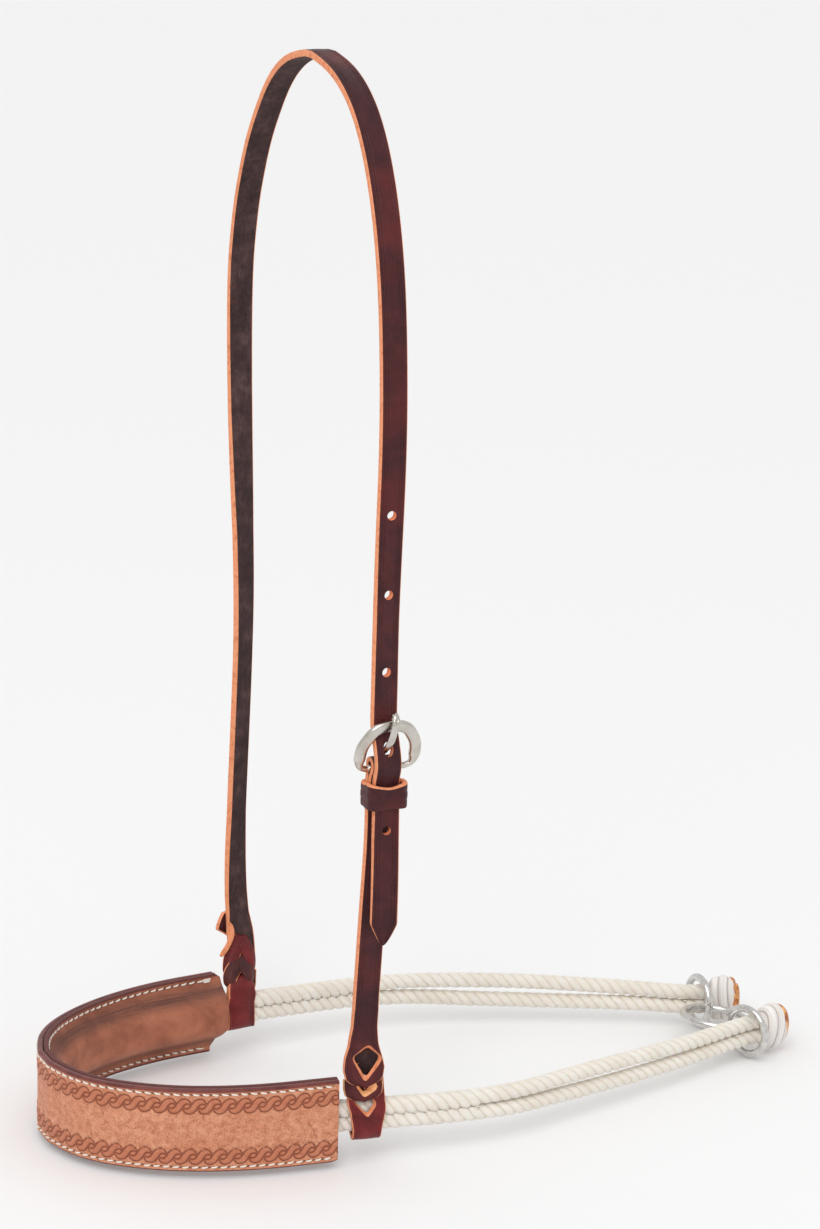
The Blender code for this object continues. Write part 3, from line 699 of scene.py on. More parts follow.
def slit_tool(name, side, route, outer, inner, deep=0.0016):
    """A tapered tool for an opened slit: outer and inner are its outlines on the two faces.

    route gives the ribbon's own (y, height), so that the tool follows the ribbon's lean. The outlines
    lie deep to each side of the ribbon's middle, and the tool goes on by reach past both.
    """
    reach = 0.0022
    line = np.array(sorted(route, key=lambda pair: pair[1]))
    outer, inner = rounded(outer), rounded(inner)
    rings = []
    for share in (-1.0 - reach / deep, -1.0, 1.0, 1.0 + reach / deep):
        outline = outer + (inner - outer) * (min(share, 1.12) + 1.0) / 2.0
        middle = np.interp(outline[:, 1], line[:, 1], line[:, 0])
        y = middle - side * deep * share
        rings.append(np.stack([outline[:, 0], y, outline[:, 1] - DROP], axis=1))
    return swept(name, rings, [])


def lean_aside(points, heights, shifts):
    """Moves the lower end of a strap sideways, by amounts given at a list of heights."""
    points[:, 0] += np.interp(points[:, 2] + DROP, heights, shifts)
    return points


# How far the tail swings aside, by height
TAIL_SHIFT = ((0.0922, 0.140, 0.165, 0.190), (0.0021, 0.0012, 0.0010, 0.0))
# The strap's width where it spreads into the braid, by height
BRAID_SPREAD = ((0.0172, 0.0175, 0.0181, 0.0194, 0.0212, 0.0258, 0.0310, 0.0370, 0.0460),
                (0.0010, 0.0048, 0.0100, 0.0148, 0.0183, 0.0203, 0.0186, 0.0150, 0.0128))
# The braid's three opened slits on the near side as (x, height), on the grain and on the flesh face
DIAMOND_OUTER = ((0.0031, 0.0378), (0.0102, 0.0302), (-0.0001, 0.0190), (-0.0070, 0.0322))
DIAMOND_INNER = ((0.0036, 0.0350), (0.0092, 0.0302), (0.0016, 0.0212), (-0.0040, 0.0312))
SECOND_OUTER = ((0.0006, 0.0250), (0.0072, 0.0160), (0.0002, 0.0116), (-0.0060, 0.0180))
SECOND_INNER = ((0.0010, 0.0240), (0.0030, 0.0160), (0.0010, 0.0138), (-0.0010, 0.0164))
THIRD_OUTER = ((0.0010, 0.0180), (0.0075, 0.0073), (0.0025, 0.0006), (-0.0050, 0.0092))
THIRD_INNER = ((0.0012, 0.0170), (0.0068, 0.0076), (0.0029, 0.0022), (-0.0036, 0.0094))


def crown_strap():
    """The tail, near leg, crown and far leg, down to the end that is braided over the far loop."""
    near = smooth_route(in_space(NEAR_ROUTE, lambda h: float(np.interp(h, *TAIL_SHIFT))), 0.0009)
    far_end = ((0.0865, 0.0260), (0.0860, 0.0210), (0.0854, 0.0160))
    far = smooth_route(in_space(FAR_ROUTE + far_end), 0.0009)
    far = lean_aside(far, (0.025, 0.055), (0.0004, 0.0))
    near_across = turned(near, (0.092, 0.150, 0.17, 0.20, 0.25, 0.30), (-18.0, -5.0, 0.0, 4.0, 8.0, 0.0))
    far_across = turned(far, (0.0, 0.030, 0.058, 0.100, 0.190, 0.250, 0.280, 0.310, 0.370),
                        (8.0, 8.0, 18.0, 31.0, 31.0, 25.0, 16.0, 8.0, 0.0))
    from_tip = np.clip(near[:, 2] + DROP - NEAR_ROUTE[0][1], 0.0, None)
    near_widths = 0.0006 + (STRAP_WIDTH - 0.0006) * np.clip(from_tip / 0.0105, 0.0, 1.0) ** 0.72
    heights = far[:, 2] + DROP
    spread = np.interp(heights, *BRAID_SPREAD)
    far_widths = np.where(heights < 0.055, np.minimum(spread, 0.0150), STRAP_WIDTH)
    points = np.concatenate([near, far])
    far_bows = np.interp(heights, (0.016, 0.028, 0.046), (0.0020, 0.0012, 0.0))
    bows = np.concatenate([np.zeros(len(near)), far_bows])
    thick = np.concatenate([np.full(len(near), STRAP_THICK),
                            np.interp(heights, (0.018, 0.046), (0.0022, STRAP_THICK))])
    thing = strap("hanger_strap", points, np.concatenate([near_across, far_across]),
                  np.concatenate([near_widths, far_widths]), thick, bows)

    ahead = headings(near)
    tools = []
    places = [("below", 0.1495, 1.0, 0.0021), ("tongue", 0.1898, 1.42, 0.0025)]
    for i in range(3):
        places.append((f"above_{i}", 0.2260 + 0.037 * i, 1.0, 0.0022))
    for name, height, stretch, radius in places:
        i = int(np.argmin(np.abs(near[:, 2] + DROP - height)))
        side = near_across[i] - ahead[i] * np.dot(near_across[i], ahead[i])
        tools.append(punch("punch_" + name, near[i], ahead[i], unit(side), radius, stretch))
    outer, inner = ([(0.0012 + x * 0.7, h) for x, h in outline] for outline in (DIAMOND_OUTER, DIAMOND_INNER))
    tools.append(slit_tool("far_slit", 1, FAR_ROUTE + far_end, outer, inner))
    cut(thing, tools)
    return ready(thing, "headstall", "latigo", "crown_strap")


def cheek_strap():
    """The near cheek piece, from its braided lower end up round the buckle's bar."""
    lower = [(-0.0812, 0.0160), (-0.0805, 0.0190), (-0.0795, 0.0225), (-0.0783, 0.0275), (-0.0771, 0.0335),
             (-0.0760, 0.0400), (-0.0753, 0.0470)]
    route = lower + list(CHEEK_ROUTE)
    rise = smooth_route(in_space(route), 0.0009)
    rise = lean_aside(rise, (0.030, 0.038, 0.055), (-0.0016, -0.0012, 0.0))
    fold = [(-0.0845, 0.1775)]
    for angle in range(0, 204, 12):
        turn = math.radians(angle)
        fold.append((BAR_Y + FOLD_RADIUS * math.cos(turn), BAR_HEIGHT + FOLD_RADIUS * math.sin(turn)))
    back_y = -0.0845 - (STRAP_THICK + FOLD_THICK) / 2.0 - 0.0003
    fold += [(-0.0894, 0.1780), (-0.0882, 0.1758), (back_y - 0.00015, 0.1736), (back_y, 0.1715)]
    fold += [(back_y, 0.1680), (back_y, FOLD_END_HEIGHT)]
    over = smooth_route(in_space(fold), 0.0007)
    points = np.concatenate([rise, over])
    heights = points[:, 2] + DROP
    widths = np.where(heights < 0.055, np.interp(heights, *BRAID_SPREAD), STRAP_WIDTH)
    bows = np.where(heights < 0.055, np.interp(heights, (0.016, 0.028, 0.046), (0.0020, 0.0012, 0.0)), 0.0)
    thick = np.interp(heights, (0.018, 0.046), (0.0022, STRAP_THICK))
    thick[len(rise):] = FOLD_THICK
    across = turned(points, (0.026, 0.060), (-12.0, 0.0))
    thing = strap("cheek_strap_piece", points, across, widths, thick, bows)
    tool = punch("tongue_gap", (hanger_x(BAR_HEIGHT), BAR_Y, BAR_HEIGHT - DROP), np.array((0.0, 0.0, 1.0)),
                 np.array((0.0, 1.0, 0.0)), FOLD_RADIUS + 0.0018, 1.0, 0.0038)
    slit = slit_tool("near_slit", -1, route, DIAMOND_OUTER, DIAMOND_INNER)
    cut(thing, [tool, slit])
    return ready(thing, "headstall", "latigo", "cheek_strap")


def rope_loop(side):
    """The strap's end round the two ropes, with the braid's lower ribbons outside and inside it."""
    near = side == "near"
    sign = -1.0 if near else 1.0
    outer = [(0.0758, 0.0190), (0.0764, 0.0150), (0.0773, 0.0110), (0.0786, 0.0075), (0.0793, 0.0035),
             (0.0795, 0.0)]
    arc = []
    deep = 0.0074 if near else 0.0050
    for angle in range(0, 181, 20):
        turn = math.radians(angle)
        wide = 0.0061 if angle < 90 else 0.0056
        arc.append((ROPE_LOOP_Y + wide * math.cos(turn), -0.0044 - deep * math.sin(turn)))
    if near:
        inner = [(0.0675, 0.0020), (0.0677, 0.0075), (0.0688, 0.0130), (0.0706, 0.0200), (0.0718, 0.0340)]
    else:
        inner = [(0.0675, 0.0020), (0.0676, 0.0080), (0.0683, 0.0125), (0.0700, 0.0158), (0.0735, 0.0172)]
    route = [(sign * y, h) for y, h in outer + arc + inner]
    points = smooth_route(in_space(route), 0.0007)
    # The loop's middle and how it leans with depth, and how far its underside is set over
    middle, slope, depth, set_over = (-0.0031, 0.25, 0.0667, -0.0007)
    if near:
        middle, slope, depth, set_over = (0.0026, -0.22, 0.0793, 0.0006)
    points[:, 0] = middle + slope * (np.abs(points[:, 1]) - depth)
    points[:, 0] += set_over * (points[:, 2] + DROP < 0.006)
    points = smooth_route(points[::4], 0.0007)
    share = lengths(points) / lengths(points)[-1]
    turn = math.radians(-8.0 if near else 8.0)
    across = np.array((math.cos(turn), math.sin(turn), 0.0))
    if near:
        widths = np.interp(share, (0.0, 0.12, 0.20, 0.30, 0.42, 0.60, 0.80, 1.0),
                           (0.0176, 0.0188, 0.0176, 0.0146, 0.0138, 0.0142, 0.0160, 0.0150))
        bows = np.interp(share, (0.0, 0.2, 0.42, 1.0), (0.0012, 0.0007, 0.0, 0.0))
        points, widths, bows = points[::-1], widths[::-1], bows[::-1]
        thick = 0.0020
    else:
        widths = np.interp(share, (0.0, 0.12, 0.20, 0.34, 0.50, 0.70, 0.84, 0.92, 0.97, 1.0),
                           (0.0160, 0.0165, 0.0160, 0.0152, 0.0150, 0.0156, 0.0160, 0.0148, 0.0120, 0.0070))
        bows = np.interp(share, (0.0, 0.2, 0.45, 0.70, 0.90, 1.0),
                         (0.0012, 0.0007, 0.0, 0.0010, 0.0022, 0.0024))
        thick = np.interp(share, (0.0, 0.45, 0.62, 1.0), (0.0020, 0.0020, 0.0030, 0.0026))
    thing = strap(side + "_loop", points, across, widths, thick, bows, LOOP_GRAIN)
    drift = 0.0 if near else -0.0024
    third_outer, third_inner = ([(x + drift, h) for x, h in slit] for slit in (THIRD_OUTER, THIRD_INNER))
    tools = [slit_tool(side + "_third_slit", sign, route[:7], third_outer, third_inner, 0.0011)]
    if near:
        tools.append(punch("peep", np.array((0.0068, -0.0704, 0.0188 - DROP)), np.array((0.0, 0.0, 1.0)),
                           np.array((1.0, 0.0, 0.0)), 0.0024, 1.0, 0.006))
    cut(thing, tools)
    ready(thing, "headstall", "latigo")
    loop_scale(side, sign)
    inner_lobes(side, sign)


def loop_scale(side, sign):
    """The braid's short middle ribbon, a rounded scale between the strap's end and the loop."""
    near = side == "near"
    lift = 0.0 if near else 0.0006
    second = ((0.0804, 0.0095), (0.0798, 0.0122), (0.0788, 0.0160), (0.0779, 0.0205))
    line = [(sign * (y + lift), h) for y, h in second]
    points = smooth_route(in_space(line), 0.0006)
    points[:, 0] = 0.0008 if near else -0.0008
    heights = points[:, 2] + DROP
    widths = np.interp(heights, (0.0095, 0.0097, 0.0105, 0.0126, 0.0160, 0.0205),
                       (0.0012, 0.0056, 0.0120, 0.0180, 0.0194, 0.0190))
    widths = widths * (1.0 if near else 0.80)
    bows = np.interp(heights, (0.0095, 0.020), (0.0020, 0.0014))
    turn = math.radians(-12.0 if near else 12.0)
    across = np.array((math.cos(turn), math.sin(turn), 0.0))
    if not near:
        points, widths, bows = points[::-1], widths[::-1], bows[::-1]
    grain = GRAIN if near else LOOP_GRAIN
    scale = strap(side + "_loop_scale", points, across, widths, 0.0019, bows, grain, SLIT_EDGE)
    cut(scale, [slit_tool(side + "_second_slit", sign, line, SECOND_OUTER, SECOND_INNER, 0.0010)])
    ready(scale, "headstall", "latigo")


def lobes_x(near, depth):
    """The middle of the inner ribbons: each braid is turned a little about the ropes."""
    if near:
        return 0.0026 + 0.22 * (0.0793 - depth)
    return -0.0050 + 0.42 * (depth - 0.0667)


def inner_lobes(side, sign):
    """The braid's crossing ribbons on the side that faces the head: a dark pair below a red pair."""
    near = side == "near"
    sideways = (0.0006, 0.0034, 0.0058, 0.0064, 0.0060)
    lower_heights = (0.0262, 0.0220, 0.0175, 0.0140, 0.0115)
    upper_heights = (0.0346, 0.0300, 0.0248, 0.0194, 0.0150)
    if near:
        lower_depths = (0.0694, 0.0686, 0.0673, 0.0662, 0.0658)
        upper_depths = (0.0712, 0.0696, 0.0690, 0.0690, 0.0692)
    else:
        lower_depths = (0.0790, 0.0738, 0.0714, 0.0706, 0.0712)
        upper_depths = (0.0850, 0.0800, 0.0770, 0.0755, 0.0762)
    pairs = (("lower", lower_heights, lower_depths, DARK_GRAIN),
             ("upper", upper_heights, upper_depths, LOOP_GRAIN))
    for kind, heights, depths, grain in pairs:
        for hand, flip in (("left", -1.0), ("right", 1.0)):
            behind = 0.0 if hand == "left" else 0.0004
            spots = []
            for w, depth, height in zip(sideways, depths, heights):
                w = w * (0.84 if kind == "lower" and height < 0.0150 else 1.0)
                spots.append((lobes_x(near, depth) + flip * w, sign * (depth + behind), height - DROP))
            points = smooth_route(spots, 0.0007)
            share = np.linspace(0.0, 1.0, len(points))
            ahead = headings(points)
            level = np.ones(len(share))
            outs = np.stack([flip * (0.25 + 0.75 * share**2), -sign * level, 0.2 * level], axis=1)
            across = np.cross(ahead, unit(outs))
            widths = np.interp(share, (0.0, 0.15, 0.5, 0.8, 0.93, 1.0),
                               (0.0060, 0.0078, 0.0082, 0.0070, 0.0050, 0.0026))
            bows = np.interp(share, (0.0, 0.5, 1.0), (0.0008, 0.0014, 0.0012))
            edge = EDGE if hand == "left" else grain
            lobe = strap(f"{side}_{kind}_lobe_{hand}", points, across, widths, 0.0021, bows, grain, edge)
            ready(lobe, "headstall", "latigo")


def far_tail_tip():
    """The strap's pointed tail, pushed out through the slit beside the far leg."""
    points = smooth_route([(0.0018, 0.0925, 0.0402), (-0.0032, 0.0915, 0.0399), (-0.0072, 0.0900, 0.0392),
                           (-0.0092, 0.0890, 0.0388)], 0.0006)
    points[:, 2] -= DROP
    share = np.linspace(0.0, 1.0, len(points))
    widths = np.interp(share, (0.0, 0.50, 1.0), (0.0150, 0.0130, 0.0010))
    across = np.cross(headings(points), np.array((-0.2, -1.0, 0.1)))
    tip = strap("far_tail_tip", points, across, widths, 0.0024)
    ready(tip, "headstall", "latigo")


def far_slit_lip():
    """The far slit's turned-out lip, a narrow tan ribbon that runs down over the braid."""
    points = smooth_route([(-0.0036, 0.0868, 0.0425), (-0.0026, 0.0850, 0.0380), (-0.0046, 0.0822, 0.0345),
                           (-0.0082, 0.0790, 0.0312), (-0.0116, 0.0774, 0.0282)], 0.0007)
    points[:, 2] -= DROP
    across = np.cross(headings(points), np.array((-0.3, -1.0, 0.0)))
    share = np.linspace(0.0, 1.0, len(points))
    widths = np.interp(share, (0.0, 0.1, 0.9, 1.0), (0.0012, 0.0024, 0.0024, 0.0012))
    lip = strap("far_slit_lip", points, across, widths, 0.0016, 0.0, EDGE)
    ready(lip, "headstall", "latigo")


def keeper():
    """The keeper: a closed band with a raised middle, whose upper rim dips at the front."""
    middle_y = -0.0877
    half_x, half_y, corner = 0.0088, 0.0067, 0.0034
    outline = []
    for sign_x, sign_y, start in ((1, 1, 0), (-1, 1, 90), (-1, -1, 180), (1, -1, 270)):
        for step in range(0, 91, 10):
            turn = math.radians(start + step)
            outline.append((sign_x * (half_x - corner) + corner * math.cos(turn),
                            middle_y + sign_y * (half_y - corner) + corner * math.sin(turn)))
    outline = np.array(outline + [outline[0]])
    reach = lengths(outline)
    stations = 120
    places = np.linspace(0.0, reach[-1], stations + 1)[:-1]
    line = np.stack([np.interp(places, reach, outline[:, axis]) for axis in (0, 1)], axis=1)
    low, high = 0.1605, 0.1722
    shift = hanger_x(0.1665) + 0.0013
    # The band's section as (outward in mm, share of its height), and the slot of each side
    section = ((1.0, 0.03), (1.18, 0.08), (1.2, 0.20), (1.2, 0.30), (1.02, 0.345), (1.3, 0.39), (1.36, 0.50),
               (1.3, 0.61), (1.02, 0.655), (1.2, 0.70), (1.2, 0.80), (1.18, 0.93), (0.9, 0.99), (0.0, 1.0),
               (-0.9, 0.99), (-1.1, 0.9), (-1.1, 0.5), (-1.1, 0.1), (-0.9, 0.01), (0.0, 0.0))
    slots = [0] * 11 + [1] * 4 + [2] * 3 + [1] * 2
    rings = []
    for i, (x, y) in enumerate(line):
        along = unit(line[(i + 1) % stations] - line[i - 1])
        out = np.array((along[1], -along[0]))
        dip = 0.0008 * math.cos(math.pi * min(1.0, abs(x) / 0.0095)) if y < middle_y else 0.0
        ring = []
        for side, level in section:
            spot = np.array((x, y)) + out * side * 0.001
            height = low + (high - low) * level - dip * level + dip * 0.4 * (1.0 - level)
            ring.append((spot[0] + shift, spot[1], height - DROP))
        rings.append(ring)
    thing = swept("keeper_band", rings, [GRAIN, EDGE, FLESH], slots, closed=True)
    return ready(thing, "keeper", "latigo", "keeper_loop")


# ---------------------------------------------------------------- buckle and rings


SIDEWAYS = np.array((1.0, 0.0, 0.0))
FRAME_X = hanger_x(BAR_HEIGHT) + 0.0018


def buckle():
    """The horseshoe frame, which leans out from the strap, with its heel bar."""
    half = [(0.0, 0.0218), (0.0045, 0.0214), (0.0080, 0.0197), (0.0106, 0.0166), (0.0132, 0.0115)]
    half += [(0.0138, 0.0052), (0.0126, 0.0004), (0.0092, -0.0010)]
    arch = smooth_route([(x, h) for x, h in reversed(half)] + [(-x, h) for x, h in half[1:]], 0.0006)
    bar = [(x, -0.0010 * (x / 0.0092) ** 4) for x in np.linspace(-0.0088, 0.0088, 12)]
    route = np.concatenate([arch, bar])
    lean = unit(np.array((0.0, -0.0066, 0.0215)))
    facing = np.cross(SIDEWAYS, lean)
    centre = np.array((FRAME_X, BAR_Y, BAR_HEIGHT - 0.0010 - DROP))
    points = centre + np.outer(route[:, 0], SIDEWAYS) + np.outer(route[:, 1], lean)
    ahead = headings(points, closed=True)
    turns = circle(24)
    round_wide = np.sign(np.cos(turns)) * np.abs(np.cos(turns)) ** 0.75
    round_thick = np.sign(np.sin(turns)) * np.abs(np.sin(turns)) ** 0.85
    rings = []
    for (x, h), point, heading in zip(route, points, ahead):
        blend = min(1.0, max(0.0, h) / 0.0050)
        wide = 0.0014 + 0.0015 * blend
        thick = 0.0014 + 0.0004 * blend
        out = np.cross(heading, facing)
        rings.append(point + np.outer(round_wide * wide, out) + np.outer(round_thick * thick, facing))
    frame_piece = swept("buckle_horseshoe", rings, [BUCKLE], closed=True)
    ready(frame_piece, "buckle", "buckle_steel", "buckle_frame")


def buckle_tongue():
    """The tongue: an eye round the heel bar, a bar through the strap's hole, and two claws on top."""
    bar_radius, slack, half_thick = 0.0014, 0.0003, 0.00105
    eye = bar_radius + slack + 0.0011
    line = []
    for angle in range(-215, 80, 24):
        turn = math.radians(angle)
        line.append((BAR_Y + eye * math.cos(turn), BAR_HEIGHT + eye * math.sin(turn)))
    line += [(-0.0886, 0.1856), (-0.0902, 0.1877), (-0.0922, 0.1896), (-0.0944, 0.1914), (-0.0963, 0.1940),
             (-0.0976, 0.1975), (-0.0984, 0.2010), (-0.0983, 0.2040), (-0.0972, 0.2062), (-0.0958, 0.2070)]
    points = smooth_route([(hanger_x(h), y, h - DROP) for y, h in line], 0.0005)
    lean_in = np.clip((-0.0870 - points[:, 1]) / 0.0035, 0.0, 1.0)
    points[:, 0] += np.interp(points[:, 2] + DROP, (0.188, 0.206), (-0.0006, 0.0022)) * lean_in
    ahead = headings(points)
    turns = circle(24)
    heights = points[:, 2] + DROP
    free = points[:, 1] < -0.0900
    wide = np.where(free, np.interp(heights, (0.186, 0.192, 0.198, 0.203, 0.207),
                                    (0.0021, 0.0020, 0.0018, 0.0018, 0.0016)), 0.0012)
    rings = []
    for i, point in enumerate(points):
        out = np.cross(ahead[i], SIDEWAYS)
        rings.append(point + np.outer(np.cos(turns) * wide[i], SIDEWAYS)
                     + np.outer(np.sin(turns) * half_thick, out))
    tongue = swept("tongue_bar", rings, [BUCKLE])
    ready(tongue, "tongue", "buckle_steel", "buckle_tongue")
    claws = []
    for hand in (-1.0, 1.0):
        claw = [(FRAME_X + hand * 0.0006, -0.0990, 0.2030 - DROP),
                (FRAME_X + hand * 0.0009, -0.0984, 0.2047 - DROP),
                (FRAME_X + hand * 0.0011, -0.0968, 0.2056 - DROP)]
        claws.append(tube_rings(smooth_route(claw, 0.0004), 0.0009, 12))
    ready(merged("tongue_claws", claws, [BUCKLE]), "tongue", "buckle_steel")


def ring(name, body, node, centre, normal, mean_radius):
    """A closed ring of round wire. centre holds its height above the noseband's mid-plane."""
    wire = 0.0020
    centre = np.array((centre[0], centre[1], centre[2] - DROP))
    normal = unit(np.array(normal, float))
    guide = (0.0, 0.0, 1.0) if abs(normal[2]) < 0.9 else (0.0, 1.0, 0.0)
    side = unit(np.cross(normal, guide))
    up = np.cross(normal, side)
    bends = circle(24)
    rings = []
    for turn in circle(120):
        out = side * math.cos(turn) + up * math.sin(turn)
        rings.append(centre + np.outer(mean_radius + wire * np.cos(bends), out)
                     + np.outer(wire * np.sin(bends), normal))
    return ready(swept(name, rings, [RING], closed=True), body, "ring_steel", node)


def heading_from(yaw, pitch):
    """A direction from its turn about Z and its rise, in degrees."""
    yaw, pitch = math.radians(yaw), math.radians(pitch)
    return (math.cos(yaw) * math.cos(pitch), math.sin(yaw) * math.cos(pitch), math.sin(pitch))


# ---------------------------------------------------------------- ropes and knots


def band_route(side):
    """The rope pair's middle line on one side, from beside the nose to the knot's face."""
    sign = -1.0 if side == "near" else 1.0
    tail = NEAR_JAW_ROUTE if side == "near" else FAR_JAW_ROUTE
    points = []
    for angle in (5.0,) + NOSE_ANGLES:
        turn = math.radians(angle)
        x = NOSE_CENTRE_X - NOSE_AXES[0] * math.cos(turn)
        points.append((x, sign * NOSE_AXES[1] * math.sin(turn), 0.0))
    points += [(x, sign * y, z) for x, y, z in SIDE_ROUTE + tail]
    return smooth_route(points, 0.0008)


BAND = np.concatenate([band_route("near")[::-1], band_route("far")])


def rope(name, level):
    """A three-strand rope: its section turns with the lay, so each strand is one ridge."""
    points = BAND.copy()
    low, high = SLIT_SPAN
    for i, (x, y, z) in enumerate(BAND):
        gap = 0.0
        if low < x < high:
            widest = SLIT_HALF_GAP["near" if y < 0.0 else "far"]
            gap = widest * math.sin(math.pi * (x - low) / (high - low)) ** 2
        points[i, 2] = z - DROP + level * (ROPE_RADIUS + 0.00012 + gap)
    reach = lengths(points)
    ahead = headings(points)
    up = unit(np.array((0.0, 0.0, 1.0)) - ahead * ahead[:, 2:])
    side = np.cross(up, ahead)
    sides = 36
    own = circle(sides)
    from_crest = np.abs(2.0 * ((own * 3.0 / (2.0 * math.pi)) % 1.0) - 1.0)
    radius = ROPE_RADIUS + 0.00005 - 0.00078 * from_crest**2.6
    phase = 0.0 if level > 0 else 1.1
    turns = own[None, :] + 2.0 * math.pi * reach[:, None] / ROPE_LAY + phase
    sewn = step_up(points[:, 0], ROPE_SEAM[0] - 0.030, ROPE_SEAM[0] - 0.020)
    sewn = sewn * (1.0 - step_up(points[:, 0], ROPE_SEAM[1] - 0.004, ROPE_SEAM[1] + 0.003))
    facing = np.degrees(np.arccos(np.clip(-level * np.cos(turns), -1.0, 1.0)))
    # Where they are sewn, the two ropes press together and fill the groove between them
    radius = radius[None, :] * (1.0 + 0.33 * sewn[:, None] * np.exp(-(((facing - 41.0) / 17.0) ** 2)))
    rings = (points[:, None, :] + (radius * np.cos(turns))[:, :, None] * up[:, None, :]
             - (radius * np.sin(turns))[:, :, None] * side[:, None, :])
    # Painted shade in the valleys between the strands, strongest at the valley floors
    valley_shade = np.broadcast_to(from_crest**5, (len(points), sides))
    thing = swept(name + "_laid", rings, [ROPE], along=reach, marks={"valley_shade": valley_shade})
    return ready(thing, "noseband", "rope", name)


def rope_seams():
    """Short stitches in the groove between the two ropes, beside each strap loop."""
    for side, sign in (("near", -1.0), ("far", 1.0)):
        band = band_route(side)
        reach = lengths(band)
        ahead = headings(band)
        for face, hand in (("outer", 1.0), ("inner", -1.0)):
            parts = []
            place = reach[int(np.argmax(band[:, 0] > ROPE_SEAM[0]))] + 0.001
            stop = reach[int(np.argmax(band[:, 0] > ROPE_SEAM[1]))]
            while place < stop:
                spots = []
                for share in (0.0, 0.25, 0.5, 0.75, 1.0):
                    i = int(np.argmin(np.abs(reach - place - share * 0.0019)))
                    out = np.array((-ahead[i][1], ahead[i][0], 0.0)) * sign * hand
                    push = 0.0022 + 0.0007 * math.sin(math.pi * share)
                    spots.append(band[i] + out * push + np.array((0.0, 0.0, 0.0006 * (share - 0.5) - DROP)))
                parts.append(tube_rings(spots, 0.00042, 8))
                place += 0.0053
            thing = merged(f"rope_stitches_{side}_{face}", parts, [THREAD])
            ready(thing, "noseband", "thread", f"rope_thread_{side}_{face}")


def rope_end_stitches():
    """One short stitch on each face of the rope pair, just before each knot."""
    for side, sign, spot in (("near", -1.0, 0.2336), ("far", 1.0, 0.2335)):
        band = band_route(side)
        i = int(np.argmin(np.abs(band[:, 0] - spot)))
        ahead = headings(band)[i]
        out = np.array((-ahead[1], ahead[0], 0.0)) * sign
        parts = []
        for hand in (1.0, -1.0):
            base = band[i] + out * hand * 0.0025 - np.array((0.0, 0.0, DROP))
            ends = [base + np.array((-0.0006, 0.0, 0.0003)), base + out * hand * 0.0006,
                    base + np.array((0.0006, 0.0, -0.0003))]
            parts.append(tube_rings(ends, 0.00045, 8))
        ready(merged(f"rope_end_stitch_{side}", parts, [THREAD]), "noseband", "thread")


def knot(name, start, direction, spin, burnt_from):
    """A squat rope button: strands wrapped round the end in crescents, trimmed and scorched."""
    corners = ((0.0, 0.0004), (0.0050, 0.0004), (0.0088, 0.0010), (0.0112, 0.0032), (0.0124, 0.0068),
               (0.0122, 0.0112), (0.0104, 0.0150), (0.0066, 0.0176), (0.0, 0.0186))
    profile = smooth_route(corners, 0.0003)[1:-1]
    along_profile = lengths(profile)
    start = np.array((start[0], start[1], start[2] - DROP))
    ahead = unit(np.array(direction, float))
    side = unit(np.cross((0.0, 0.0, 1.0), ahead))
    up = np.cross(ahead, side)
    turns = circle(108)
    rings, scorch, valley_shade, uvs = [], [], [], []
    for i, (radius, along) in enumerate(profile):
        bend = 0.42 * np.cos(turns - spin) + 0.16 * np.sin(2.0 * turns + spin)
        phase = along_profile[i] / 0.0060 + bend + turns / (2.0 * math.pi)
        share = np.abs(2.0 * (phase % 1.0) - 1.0)
        fade = min(1.0, radius / 0.006)
        groove = 0.0013 * share**4.0 * fade
        # Painted shade in the grooves between the wrapped strands
        valley_shade.append(share**7.0 * fade)
        reach = (radius - groove) * (1.0 + 0.02 * np.sin(3.0 * turns + spin))
        lift = 0.0005 * share**3.0 * (-1.0 if along > 0.009 else 1.0) * fade
        ring = start + np.outer(along + lift, ahead) + np.outer(reach * 0.62 * np.cos(turns), side)
        rings.append(ring + np.outer(reach * np.sin(turns), up))
        scorch.append(np.clip((along - burnt_from + 0.0016 * np.sin(turns + spin)) / 0.0040, 0.0, 1.0))
        uvs.append(np.stack([turns * 0.0110, phase * 0.0060], axis=1))
    marks = {"scorch": np.array(scorch), "valley_shade": np.array(valley_shade)}
    thing = swept(name + "_button", rings, [KNOT], marks=marks)
    owners = np.empty(len(thing.data.loops), np.int32)
    thing.data.loops.foreach_get("vertex_index", owners)
    layer = thing.data.uv_layers["UVMap"]
    layer.data.foreach_set("uv", np.concatenate(uvs)[owners].astype(np.float32).ravel())
    return ready(thing, "noseband", "knot", name)


# ---------------------------------------------------------------- nose cover and lining


def cover_frame():
    """The cover's line: places along its outer face, and outward directions, from near to far."""
    start = int(np.argmax((BAND[:, 0] < COVER_END_X) & (BAND[:, 1] < 0.0)))
    far = (BAND[:, 0] < COVER_END_X) & (BAND[:, 1] > 0.0)
    stop = len(BAND) - int(np.argmax(far[::-1]))
    line = BAND[start:stop]
    outs = unit(np.cross((0.0, 0.0, 1.0), headings(line)))
    reach = lengths(line + outs * 0.0073)
    return line, outs, reach


COVER_LINE, COVER_OUTS, COVER_REACH = cover_frame()


def on_cover(places, offsets, heights):
    """Points beside the cover's line: place along its face, outward offset and height."""
    places, offsets, heights = np.broadcast_arrays(places, offsets, heights)
    spots = np.stack([np.interp(places, COVER_REACH, COVER_LINE[:, i]) for i in range(3)], axis=-1)
    outs = np.stack([np.interp(places, COVER_REACH, COVER_OUTS[:, i]) for i in range(3)], axis=-1)
    points = spots + unit(outs) * offsets[..., None]
    points[..., 2] = spots[..., 2] + heights - DROP
    return points


def step_up(value, low, high):
    """0 below low, 1 above high and a smooth rise between them."""
    share = np.clip((value - low) / (high - low), 0.0, 1.0)
    return share * share * (3.0 - 2.0 * share)


